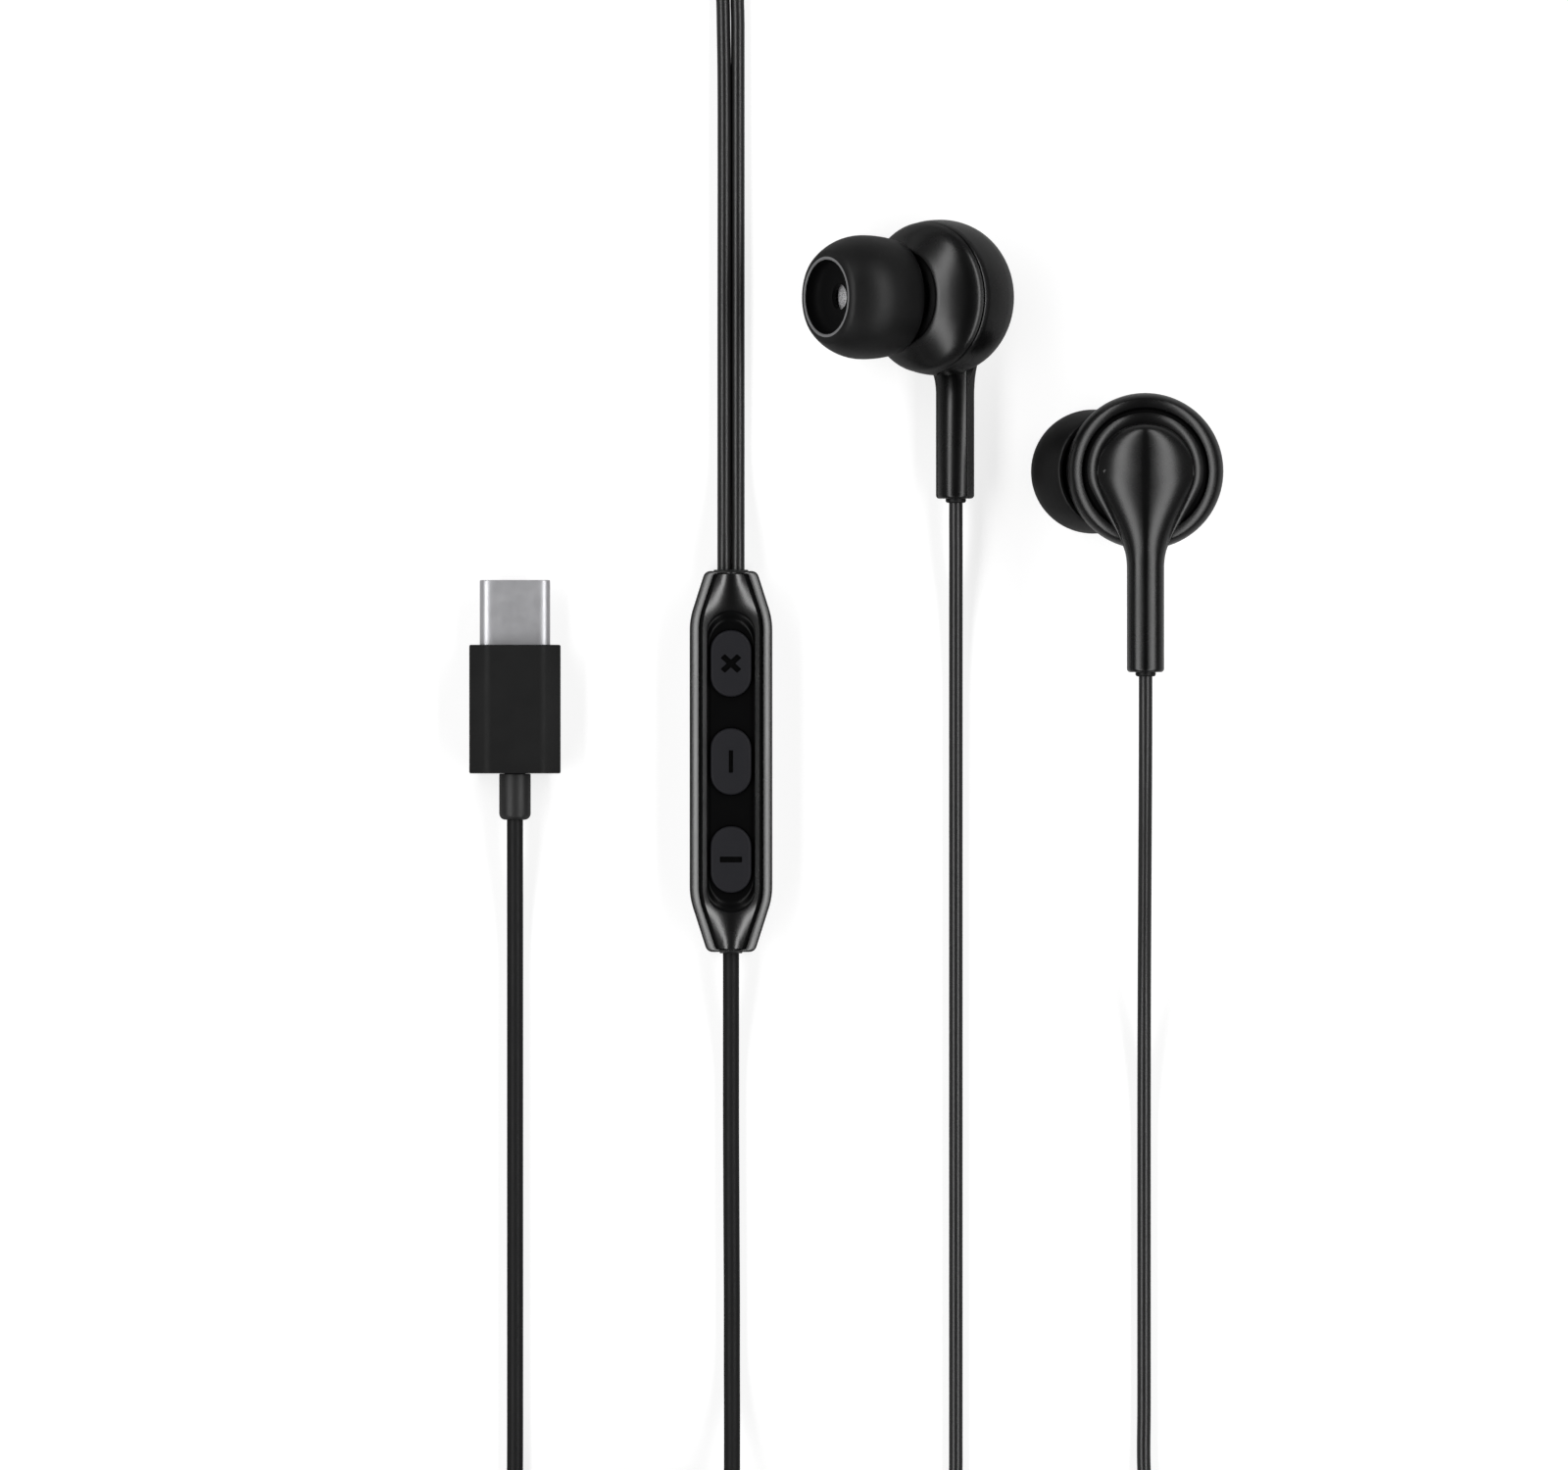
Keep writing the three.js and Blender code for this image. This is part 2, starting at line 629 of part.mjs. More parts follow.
function makeEarbud(side) {
  const bud = new THREE.Group();
  const add = (name, geometry, material) => bud.add(piece(`${side}_${name}`, geometry, material));
  add('front_shell', frontShell(), glossBlack);
  add('rear_ring', rearRing(), glossBlack);
  add('rear_plate', rearPlate(), glossBlack);
  add('back_cover', backCover(), glossBlack);
  add('stem_front', stemFront(), glossBlack);
  add('cord_bush', cordBush(), silicone);
  add('terminal_board', terminalBoard(), boardGreen);
  add('yoke_cup', yokeCup(), darkSteel);
  add('magnet', disc(MAGNET_RADIUS, magnetBack, MAGNET_HEIGHT), darkSteel);
  add('top_plate', disc(MAGNET_RADIUS, topPlateBack, TOP_PLATE_HEIGHT), darkSteel);
  add('voice_coil', voiceCoil(), copper);
  add('driver_basket', driverBasket(), satinBlack);
  add('diaphragm', diaphragm(), amberFilm);

  const nozzle = new THREE.Group();
  nozzle.position.set(NOZZLE_FOOT.x, 0, NOZZLE_FOOT.z);
  nozzle.rotation.y = degrees(NOZZLE_LEAN);
  nozzle.add(piece(`${side}_nozzle_mesh`, nozzleMesh(), darkSteel));
  nozzle.add(piece(`${side}_ear_tip`, earTip(), silicone));
  bud.add(nozzle);
  return bud;
}

// Remote

const remoteTop = REMOTE_LENGTH / 2;
const roofBottom = REMOTE_HEIGHT - RECESS_DEPTH - ROOF_THICKNESS;
const remoteBoardTop = REMOTE_FLOOR + GAP + REMOTE_BOARD_THICKNESS;
const buttonBottom = roofBottom - GAP - BUTTON_FLANGE_THICKNESS;
const buttonTop = REMOTE_HEIGHT - BUTTON_SINK;
const microphoneY = -remoteTop + REMOTE_BOTTOM_TAPER + 1.55;

// The remote's outline, drawn in by an inset, at one height
function remoteRing(z, inset) {
  const wide = REMOTE_WIDTH / 2 - inset;
  const topEnd = REMOTE_TOP_END_WIDTH / 2 - inset;
  const bottomEnd = REMOTE_BOTTOM_END_WIDTH / 2 - inset;
  const reach = remoteTop - inset;
  const side = [
    [topEnd - REMOTE_CORNER, reach],
    [topEnd, reach - REMOTE_CORNER],
    [wide, remoteTop - REMOTE_TOP_TAPER],
    [wide, REMOTE_BOTTOM_TAPER - remoteTop],
    [bottomEnd, REMOTE_CORNER - reach],
    [bottomEnd - REMOTE_CORNER, -reach],
  ];
  const right = side.map(([x, y]) => new THREE.Vector3(x, y, z));
  const left = side.map(([x, y]) => new THREE.Vector3(-x, y, z)).reverse();
  return [...right, ...left];
}

const stadiumRing = (width, length, z) => roundedRing(width, length, z, width / 2);

// Where a clamp passes through an end wall
function clampOpening(width, height, end) {
  const length = 2 * REMOTE_WALL + 2;
  const bottom = REMOTE_SPLIT - height / 2 - GAP;
  return block(width + 2 * GAP, length, height + 2 * GAP, 0, end * remoteTop, bottom);
}

const twinWidth = 2 * EAR_CORD + 0.2;
const twinOpening = () => clampOpening(twinWidth, EAR_CORD, 1);
const mainOpening = () => clampOpening(MAIN_CORD, MAIN_CORD, -1);

function remoteFrontShell() {
  const shoulder = REMOTE_HEIGHT - REMOTE_FACET_HEIGHT;
  const outside = loft([
    remoteRing(REMOTE_SPLIT + HALF_GAP, 0),
    remoteRing(shoulder, 0),
    remoteRing(REMOTE_HEIGHT, REMOTE_FACET_WIDTH),
  ]);
  const inside = loft([remoteRing(0, REMOTE_WALL), remoteRing(roofBottom, REMOTE_WALL)]);
  const recessFloor = REMOTE_HEIGHT - RECESS_DEPTH;
  const recess = loft([
    stadiumRing(RECESS_WIDTH, RECESS_LENGTH, recessFloor),
    stadiumRing(RECESS_WIDTH, RECESS_LENGTH, REMOTE_HEIGHT + 1),
  ]);
  const holes = [-1, 0, 1].map((place) => {
    const width = BUTTON_WIDTH + 2 * GAP;
    const length = BUTTON_LENGTH + 2 * GAP;
    const hole = loft([
      stadiumRing(width, length, roofBottom - 1),
      stadiumRing(width, length, REMOTE_HEIGHT + 1),
    ]);
    return hole.translate(0, place * BUTTON_PITCH, 0);
  });
  return cut(outside, inside, recess, ...holes, twinOpening(), mainOpening());
}

function microphoneHole() {
  const sound = new THREE.CylinderGeometry(
    MICROPHONE_HOLE_RADIUS,
    MICROPHONE_HOLE_RADIUS,
    remoteBoardTop + 2,
    PIN_SIDES,
  );
  sound.rotateX(Math.PI / 2);
  return closed(sound.translate(0, microphoneY, remoteBoardTop / 2));
}

function remoteBackShell() {
  const outside = loft([
    remoteRing(0, 0.9),
    remoteRing(0.3, 0.35),
    remoteRing(0.9, 0),
    remoteRing(REMOTE_SPLIT - HALF_GAP, 0),
  ]);
  const inside = loft([
    remoteRing(REMOTE_FLOOR, REMOTE_WALL),
    remoteRing(REMOTE_HEIGHT, REMOTE_WALL),
  ]);
  return cut(outside, inside, microphoneHole(), twinOpening(), mainOpening());
}

function remoteBoard() {
  const width = REMOTE_WIDTH - 2 * REMOTE_WALL - 2 * GAP;
  const length = REMOTE_LENGTH - REMOTE_TOP_TAPER - REMOTE_BOTTOM_TAPER - GAP;
  const middle = (REMOTE_BOTTOM_TAPER - REMOTE_TOP_TAPER) / 2;
  const bottom = REMOTE_FLOOR + GAP;
  const board = block(width, length, REMOTE_BOARD_THICKNESS, 0, middle, bottom);
  return cut(board, microphoneHole());
}

function remoteButton() {
  const flangeWidth = BUTTON_WIDTH + 2 * BUTTON_FLANGE;
  const flangeLength = BUTTON_LENGTH + 2 * BUTTON_FLANGE;
  const flangeTop = buttonBottom + BUTTON_FLANGE_THICKNESS;
  return loft([
    stadiumRing(flangeWidth, flangeLength, buttonBottom),
    stadiumRing(flangeWidth, flangeLength, flangeTop),
    stadiumRing(BUTTON_WIDTH, BUTTON_LENGTH, flangeTop),
    stadiumRing(BUTTON_WIDTH, BUTTON_LENGTH, buttonTop - 0.25),
    stadiumRing(BUTTON_WIDTH - 0.6, BUTTON_LENGTH - 0.6, buttonTop),
  ]);
}

const switchBottom = remoteBoardTop + GAP;
const switchTop = switchBottom + SWITCH_HEIGHT;
const wellFloor = switchBottom + GAP;

function switchBody() {
  const body = block(SWITCH_SIZE, SWITCH_SIZE, SWITCH_HEIGHT, 0, 0, switchBottom);
  const radius = PLUNGER_RADIUS + GAP;
  const well = new THREE.CylinderGeometry(radius, radius, SWITCH_HEIGHT, PIN_SIDES);
  well.rotateX(Math.PI / 2);
  well.translate(0, 0, wellFloor + SWITCH_HEIGHT / 2);
  return cut(body, closed(well));
}

function switchPlunger() {
  const bottom = wellFloor + BUTTON_TRAVEL + GAP / 2;
  const height = buttonBottom - GAP - bottom;
  const pin = new THREE.CylinderGeometry(PLUNGER_RADIUS, PLUNGER_RADIUS, height, PIN_SIDES);
  pin.rotateX(Math.PI / 2);
  return closed(pin.translate(0, 0, bottom + height / 2));
}

// A clamp on the cords: a neck through the end wall and a taller foot behind the wall
function cordClamp(width, height, end) {
  const neckMiddle = end * (remoteTop - CLAMP_LENGTH / 2);
  const neck = block(width, CLAMP_LENGTH, height, 0, neckMiddle, REMOTE_SPLIT - height / 2);
  const footHeight = height + 2 * CLAMP_FLANGE;
  const footEnd = remoteTop - REMOTE_WALL - REMOTE_CORNER - GAP;
  const footMiddle = end * (footEnd - CLAMP_FLANGE_LENGTH / 2);
  const footBottom = REMOTE_SPLIT - footHeight / 2;
  const foot = block(width, CLAMP_FLANGE_LENGTH, footHeight, 0, footMiddle, footBottom);
  return joinSolids(neck, foot);
}

function makeRemote() {
  const remote = new THREE.Group();
  const add = (name, geometry, material, y = 0) => {
    const mesh = piece(name, geometry, material);
    mesh.position.y = y;
    remote.add(mesh);
  };
  add('remote_front_shell', remoteFrontShell(), glossBlack);
  add('remote_back_shell', remoteBackShell(), glossBlack);
  add('remote_board', remoteBoard(), boardGreen);
  ['volume_down', 'call', 'volume_up'].forEach((use, i) => {
    const y = (i - 1) * BUTTON_PITCH;
    add(`${use}_button`, remoteButton(), buttonRubber, y);
    add(`${use}_plunger`, switchPlunger(), satinBlack, y);
    add(`${use}_switch`, switchBody(), nickel, y);
  });
  const { width, length, height } = MICROPHONE_SIZE;
  const can = block(width, length, height, 0, microphoneY, remoteBoardTop + GAP);
  add('microphone', can, nickel);
  add('lead_clamp', cordClamp(twinWidth, EAR_CORD, 1), satinBlack);
  add('main_cord_clamp', cordClamp(MAIN_CORD, MAIN_CORD, -1), satinBlack);
  return remote;
}

// Plug. Its own y = 0 is the front face of the moulded body, and z = 0 its middle.

const plugBore = { width: PLUG_SHELL_WIDTH + 2 * GAP, height: PLUG_SHELL_HEIGHT + 2 * GAP };

// The metal shell, made along z: rings outside, then back down inside
function connectorShell() {
  const outside = (z, inset = 0) => {
    const width = PLUG_SHELL_WIDTH - 2 * inset;
    const height = PLUG_SHELL_HEIGHT - 2 * inset;
    return roundedRing(width, height, z, height / 2, 3);
  };
  const leadIn = PLUG_SHELL_WALL / 3;
  return towardY(
    loft(
      [
        outside(-PLUG_SHELL_ROOT),
        outside(PLUG_SHELL_REACH - 2 * leadIn),
        outside(PLUG_SHELL_REACH, leadIn),
        outside(PLUG_SHELL_REACH, PLUG_SHELL_WALL),
        outside(-PLUG_SHELL_ROOT, PLUG_SHELL_WALL),
      ],
      true,
    ),
  );
}

const contactRoot = 1.7;
const innerWidth = PLUG_SHELL_WIDTH - 2 * PLUG_SHELL_WALL - 2 * GAP;
const innerHeight = PLUG_SHELL_HEIGHT - 2 * PLUG_SHELL_WALL - 2 * GAP;

function contactCarrier() {
  const length = contactRoot - GAP + PLUG_SHELL_ROOT - GAP;
  const middle = contactRoot - GAP - length / 2;
  const width = innerWidth - innerHeight / 2;
  return block(width, length, innerHeight, 0, middle, -innerHeight / 2);
}

// A comb of spring contacts: one spine and twelve fingers
function contactComb(bottom) {
  const spine = 0.6;
  const reach = ((CONTACT_COUNT - 1) * CONTACT_PITCH + CONTACT_WIDTH) / 2;
  const outline = new THREE.Shape();
  outline.moveTo(-reach, contactRoot);
  outline.lineTo(reach, contactRoot);
  for (let i = CONTACT_COUNT - 1; i >= 0; i--) {
    const left = -reach + i * CONTACT_PITCH;
    if (i < CONTACT_COUNT - 1) outline.lineTo(left + CONTACT_WIDTH, contactRoot + spine);
    outline.lineTo(left + CONTACT_WIDTH, contactRoot + CONTACT_LENGTH);
    outline.lineTo(left, contactRoot + CONTACT_LENGTH);
    if (i > 0) outline.lineTo(left, contactRoot + spine);
  }
  const options = { depth: CONTACT_THICKNESS, bevelEnabled: false };
  return closed(new THREE.ExtrudeGeometry(outline, options).translate(0, 0, bottom));
}

// The side latches: two arms joined behind the slot
function latchPlate() {
  const outer = innerWidth / 2;
  const arm = 0.3;
  const front = contactRoot + 4.2;
  const outline = new THREE.Shape();
  outline.moveTo(-outer, contactRoot);
  outline.lineTo(outer, contactRoot);
  outline.lineTo(outer, front);
  outline.lineTo(outer - arm, front);
  outline.lineTo(outer - arm, contactRoot + arm);
  outline.lineTo(arm - outer, contactRoot + arm);
  outline.lineTo(arm - outer, front);
  outline.lineTo(-outer, front);
  const thickness = 0.2;
  const options = { depth: thickness, bevelEnabled: false };
  return closed(new THREE.ExtrudeGeometry(outline, options).translate(0, 0, -thickness / 2));
}

function plugBody() {
  const halfWidth = PLUG_BODY_WIDTH / 2;
  const halfHeight = PLUG_BODY_HEIGHT / 2;
  const flat = halfWidth - PLUG_BEVEL_WIDTH;
  const side = halfHeight - PLUG_BEVEL_HEIGHT;
  const section = (y) =>
    [
      [flat, halfHeight],
      [halfWidth, side],
      [halfWidth, -side],
      [flat, -halfHeight],
      [-flat, -halfHeight],
      [-halfWidth, -side],
      [-halfWidth, side],
      [-flat, halfHeight],
    ].map(([x, z]) => new THREE.Vector3(x, y, z));
  const body = loft([section(-PLUG_BODY_LENGTH), section(0)]);
  const depth = PLUG_BODY_LENGTH - PLUG_BODY_WALL - GAP;
  const cavityMiddle = (1 - depth) / 2;
  const { width, height } = plugBore;
  const cavity = block(width, depth + 1, height, 0, cavityMiddle, -height / 2);
  const boreRadius = RELIEF_NECK_RADIUS + GAP;
  const bore = pinAlongY(boreRadius, -PLUG_BODY_LENGTH - 1, -depth + 1, 0);
  return cut(body, cavity, bore);
}

function strainRelief() {
  const round = 0.45;
  const profile = [
    [0, -RELIEF_LENGTH],
    [RELIEF_RADIUS - round, -RELIEF_LENGTH],
    [RELIEF_RADIUS, round - RELIEF_LENGTH],
    [RELIEF_RADIUS, 0],
    [RELIEF_NECK_RADIUS, 0],
    [RELIEF_NECK_RADIUS, RELIEF_NECK_LENGTH],
    [0, RELIEF_NECK_LENGTH],
  ];
  return towardY(turned(profile, SMALL_SIDES)).translate(0, -PLUG_BODY_LENGTH - GAP, 0);
}

function makePlug() {
  const plug = new THREE.Group();
  plug.add(piece('connector_shell', connectorShell(), nickel));
  plug.add(piece('contact_carrier', contactCarrier(), chipBlack));
  plug.add(piece('upper_contacts', contactComb(TONGUE_SLOT / 2), gold));
  plug.add(piece('lower_contacts', contactComb(-TONGUE_SLOT / 2 - CONTACT_THICKNESS), gold));
  plug.add(piece('latch_plate', latchPlate(), nickel));
  const boardFront = -PLUG_SHELL_ROOT - GAP;
  const boardMiddle = boardFront - PLUG_BOARD.length / 2;
  const boardBottom = -plugBore.height / 2 + GAP;
  const { width, length, thickness } = PLUG_BOARD;
  const board = block(width, length, thickness, 0, boardMiddle, boardBottom);
  plug.add(piece('plug_board', board, boardGreen));
  const chipBottom = boardBottom + thickness + GAP;
  const chip = block(CHIP.width, CHIP.length, CHIP.height, 0, boardMiddle, chipBottom);
  plug.add(piece('audio_chip', chip, chipBlack));
  plug.add(piece('plug_body', plugBody(), plugRubber));
  plug.add(piece('strain_relief', strainRelief(), plugRubber));
  return plug;
}

// Cords

function cordTube(points, diameter, steps) {
  const section = new THREE.Shape();
  for (let i = 0; i < CORD_SIDES; i++) {
    const angle = (2 * Math.PI * (i + 0.5)) / CORD_SIDES;
    const x = (diameter / 2) * Math.cos(angle);
    const y = (diameter / 2) * Math.sin(angle);
    if (i === 0) section.moveTo(x, y);
    else section.lineTo(x, y);
  }
  const places = points.map(([x, y, z]) => new THREE.Vector3(x, y, z));
  const extrudePath = new THREE.CatmullRomCurve3(places, false, 'centripetal');
  return closed(new THREE.ExtrudeGeometry(section, { steps, bevelEnabled: false, extrudePath }));
}

// Plug to coil: down to the table and straight out of view
const PLUG_SIDE_ROUTE = [
  [-51.76, -28.0, 3.0],
  [-51.76, -31, 2.9],
  [-51.76, -37, 1.7],
  [-51.76, -43, 1.0],
  [-51.76, -50, 0.97],
  [-51.76, -60, 0.97],
  [-51.76, -100, 0.97],
  [-51.78, -115.8, 0.97],
];

// Coil to remote: down from the coil's top layer and up to the remote's lower end
const remoteFoot = REMOTE.y - remoteTop - GAP;
const REMOTE_SIDE_ROUTE = [
  [-26.28, -115.8, 8.15],
  [-26.28, -113.5, 8.1],
  [-26.28, -109, 7.1],
  [-26.28, -103, 4.6],
  [-26.28, -97, 2.3],
  [-26.3, -91, 1.1],
  [-26.3, -84, 0.97],
  [-26.35, -74, 0.97],
  [-26.4, -62, 0.97],
  [REMOTE.x, remoteFoot - 12.75, 1.1],
  [REMOTE.x, remoteFoot - 6.75, 2.3],
  [REMOTE.x, remoteFoot - 2.25, 3.25],
  [REMOTE.x, remoteFoot, REMOTE_SPLIT],
];

// The two leads leave the remote's upper end side by side
const leadStart = REMOTE.y + remoteTop + GAP;
const rightLeadX = REMOTE.x + (EAR_CORD + GAP) / 2;
const leftLeadX = REMOTE.x - (EAR_CORD + GAP) / 2;

// Flat round bend of a lead on the table, between two headings in degrees about its centre
function bend(middleX, middleY, radius, from, to) {
  const points = [];
  for (let i = 0; i <= BEND_STEPS; i++) {
    const angle = degrees(from + ((to - from) * i) / BEND_STEPS);
    const x = middleX + radius * Math.cos(angle);
    const y = middleY + radius * Math.sin(angle);
    points.push([x, y, EAR_CORD_REST]);
  }
  return points;
}

// Right earbud's lead: up out of view, round past the right-hand edge and back to the stem
const RIGHT_LEAD_ROUTE = [
  [rightLeadX, leadStart, REMOTE_SPLIT],
  [rightLeadX, leadStart + 2.45, 3.2],
  [rightLeadX, leadStart + 7, 2.0],
  [rightLeadX, leadStart + 12, 0.95],
  [rightLeadX, leadStart + 18, EAR_CORD_REST],
  [rightLeadX, leadStart + 28, EAR_CORD_REST],
  [rightLeadX, 66, EAR_CORD_REST],
  ...bend(rightLeadX + 13, 70, 13, 180, 90),
  [-8, 83, EAR_CORD_REST],
  [60, 83, EAR_CORD_REST],
  ...bend(64, 70, 13, 90, 0),
  [77, 66, EAR_CORD_REST],
  [77, -99, EAR_CORD_REST],
  ...bend(64, -103, 13, 0, -90),
  [60, -116, EAR_CORD_REST],
  [17, -116, EAR_CORD_REST],
  ...bend(13, -103, 13, -90, -180),
  [0, -99, EAR_CORD_REST],
  [0, -60, EAR_CORD_REST],
  [0, -20, EAR_CORD_REST],
  [0, -10, 0.9],
  [0, -3, 1.5],
  [0, 4, 2.75],
  [-0.01, 7, 3.05],
  [-0.01, 9.15, 3.07],
];

// Left earbud's lead: the same way round on the outside, over the other lead and up to the stem
const LEFT_LEAD_ROUTE = [
  [leftLeadX, leadStart, REMOTE_SPLIT],
  [leftLeadX, leadStart + 2.45, 3.2],
  [leftLeadX, leadStart + 7, 2.0],
  [leftLeadX, leadStart + 12, 0.95],
  [leftLeadX, leadStart + 18, EAR_CORD_REST],
  [leftLeadX, leadStart + 28, EAR_CORD_REST],
  [leftLeadX, 66, EAR_CORD_REST],
  ...bend(leftLeadX + 17, 72, 17, 180, 90),
  [-6, 89, EAR_CORD_REST],
  [60, 89, EAR_CORD_REST],
  ...bend(64, 71, 18, 90, 0),
  [82, 66, EAR_CORD_REST],
  [82, -99, EAR_CORD_REST],
  ...bend(64, -103, 18, 0, -90),
  [58, -121, 0.9],
  [50, -121, 1.3],
  [42, -121, 2.3],
  [35, -120.3, 3.1],
  [28.8, -117.1, 3.5],
  [24.5, -112.2, 3.1],
  [22.5, -106.5, 2.1],
  [22.1, -101, 1.1],
  [22.1, -95, EAR_CORD_REST],
  [22.1, -84, EAR_CORD_REST],
  [22.1, -70, EAR_CORD_REST],
  [22.1, -60, 1.1],
  [22.1, -48, 3.6],
  [22.1, -34, 10.4],
  [22.1, -22, 16.4],
  [22.1, -14.5, 18.35],
  [22.1, -11.25, 18.43],
];

// Middle of the coiled cord. It spirals in and out again, a quarter of the turns to each layer,
// climbs a layer in the half turn where the spiral reverses, and humps over the tie.
function coilPath() {
  const turnsPerLayer = COIL_TURNS / COIL_LAYERS;
  const points = [];
  for (let i = 0; i <= COIL_TURNS * LOOP_STEPS; i++) {
    const turn = i / LOOP_STEPS;
    const layer = Math.floor(turn / turnsPerLayer);
    const along = turn - layer * turnsPerLayer;
    const inward = layer % 2 === 0 ? along : turnsPerLayer - along;
    const radius = COIL_OUTER_RADIUS - COIL_PITCH * inward;
    const angle = Math.PI * (1 + 2 * turn);
    let z = MAIN_CORD / 2;
    for (let reversal = 1; reversal < COIL_LAYERS; reversal++) {
      const start = reversal * turnsPerLayer - 0.25;
      z += COIL_LAYER_RISE * THREE.MathUtils.smoothstep(turn, start, start + 0.5);
    }
    const fromTie = Math.acos(-Math.sin(angle));
    const share = Math.min(fromTie / degrees(TIE_HUMP_HALF_ANGLE), 1);
    z += (TIE_THICKNESS + GAP) * Math.cos((share * Math.PI) / 2) ** 2;
    points.push(new THREE.Vector3(radius * Math.cos(angle), radius * Math.sin(angle), z));
  }
  const straight = new THREE.Vector3(0, MAIN_CORD, 0);
  return [points[0].clone().add(straight), ...points, points.at(-1).clone().add(straight)];
}

function coilTube(path) {
  const up = new THREE.Vector3(0, 0, 1);
  const rings = path.map((point, i) => {
    const before = path[Math.max(i - 1, 0)];
    const after = path[Math.min(i + 1, path.length - 1)];
    const along = after.clone().sub(before).normalize();
    const across = along.clone().cross(up).normalize();
    const upward = across.clone().cross(along);
    const ring = [];
    for (let side = 0; side < LOOP_SIDES; side++) {
      const angle = (2 * Math.PI * side) / LOOP_SIDES;
      const corner = point.clone();
      corner.addScaledVector(across, (MAIN_CORD / 2) * Math.cos(angle));
      corner.addScaledVector(upward, (MAIN_CORD / 2) * Math.sin(angle));
      ring.push(corner);
    }
    return ring;
  });
  return loft(rings);
}

// Least distance between two places on the coil that are over a third of a turn apart
function coilGap(path) {
  let least = Infinity;
  const apart = LOOP_STEPS / 3;
  for (let i = 0; i < path.length; i++) {
    for (let j = i + apart; j < path.length; j++) {
      least = Math.min(least, path[i].distanceTo(path[j]));
    }
  }
  return least - MAIN_CORD;
}

// The tie: a flat band round all the loops, at the side away from the cord's ends
function coilTie() {
  const innermost = COIL_OUTER_RADIUS - (COIL_PITCH * COIL_TURNS) / COIL_LAYERS;
  const depth = COIL_OUTER_RADIUS - innermost + MAIN_CORD + 2 * GAP;
  const height = COIL_LAYER_RISE * (COIL_LAYERS - 1) + MAIN_CORD + 2 * GAP;
  const band = (extra, x) => {
    const ring = roundedRing(depth + 2 * extra, height + 2 * extra, x, 0.4 + extra, 2);
    return ring.map((point) => new THREE.Vector3(point.z, point.x, point.y));
  };
  const half = TIE_WIDTH / 2;
  const geometry = loft(
    [band(TIE_THICKNESS, -half), band(TIE_THICKNESS, half), band(0, half), band(0, -half)],
    true,
  );
  const middle = -(COIL_OUTER_RADIUS + innermost) / 2;
  return geometry.translate(0, middle, height / 2 + TIE_THICKNESS);
}

// Assembly

// Lowers or lifts a group until its lowest point touches the table
function restOnTable(group) {
  group.updateMatrixWorld(true);
  group.position.z -= new THREE.Box3().setFromObject(group, true).min.z;
}

const earphones = new THREE.Group();

const rightEarbud = makeEarbud('right');
rightEarbud.position.set(RIGHT_EARBUD.x, RIGHT_EARBUD.y, 0);
rightEarbud.rotation.y = degrees(RIGHT_EARBUD.turn);
rightEarbud.scale.x = -1;
restOnTable(rightEarbud);

const leftEarbud = makeEarbud('left');
leftEarbud.position.set(LEFT_EARBUD.x, LEFT_EARBUD.y, 0);
leftEarbud.rotation.y = degrees(LEFT_EARBUD.turn);
restOnTable(leftEarbud);

const remote = makeRemote();
remote.position.set(REMOTE.x, REMOTE.y, 0);

const plug = makePlug();
plug.position.set(PLUG.x, PLUG.y, PLUG_BODY_HEIGHT / 2);

const coil = new THREE.Group();
const path = coilPath();
coil.add(piece('main_cord_coil', coilTube(path), cordSkin));
coil.add(piece('coil_tie', coilTie(), tiePlastic));
coil.position.set(COIL.x, COIL.y, 0);
console.log(`The coil's least gap to itself is ${coilGap(path).toFixed(2)} mm`);

const plugSide = cordTube(PLUG_SIDE_ROUTE, MAIN_CORD, MAIN_CORD_STEPS);
const remoteSide = cordTube(REMOTE_SIDE_ROUTE, MAIN_CORD, MAIN_CORD_STEPS);
const rightLead = cordTube(RIGHT_LEAD_ROUTE, EAR_CORD, EAR_CORD_STEPS);
const leftLead = cordTube(LEFT_LEAD_ROUTE, EAR_CORD, EAR_CORD_STEPS);

earphones.add(rightEarbud, leftEarbud, remote, plug, coil);
earphones.add(piece('main_cord_plug_side', plugSide, cordSkin));
earphones.add(piece('main_cord_remote_side', remoteSide, cordSkin));
earphones.add(piece('right_lead', rightLead, cordSkin));
earphones.add(piece('left_lead', leftLead, cordSkin));

export default earphones;
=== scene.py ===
import math

import bmesh
import bpy
from mathutils import Matrix, Vector


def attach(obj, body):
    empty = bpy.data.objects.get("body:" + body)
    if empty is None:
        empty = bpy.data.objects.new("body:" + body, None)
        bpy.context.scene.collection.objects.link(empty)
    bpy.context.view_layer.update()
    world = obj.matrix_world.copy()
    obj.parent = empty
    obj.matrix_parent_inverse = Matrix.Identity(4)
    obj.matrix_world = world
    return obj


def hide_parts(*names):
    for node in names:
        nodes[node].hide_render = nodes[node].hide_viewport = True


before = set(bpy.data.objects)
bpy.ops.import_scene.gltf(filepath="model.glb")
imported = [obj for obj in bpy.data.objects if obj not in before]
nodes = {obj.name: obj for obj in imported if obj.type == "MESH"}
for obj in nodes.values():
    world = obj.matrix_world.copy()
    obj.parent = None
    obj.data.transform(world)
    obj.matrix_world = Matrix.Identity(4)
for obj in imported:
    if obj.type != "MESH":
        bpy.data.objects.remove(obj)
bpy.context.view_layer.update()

# The table and the light. The earphones lie on a white sheet under a long lens that looks
# straight down. A tall, narrow soft box stands at each side. The room lights them with pale
# walls and a dark ceiling, and the lens itself sees plain white past the sheet.
PIXEL = 0.115e-3
PICTURE_WIDTH = 1600
VIEW_MIDDLE = Vector((-0.02018, -0.01749, 0.004))
LENS_LENGTH = 800.0
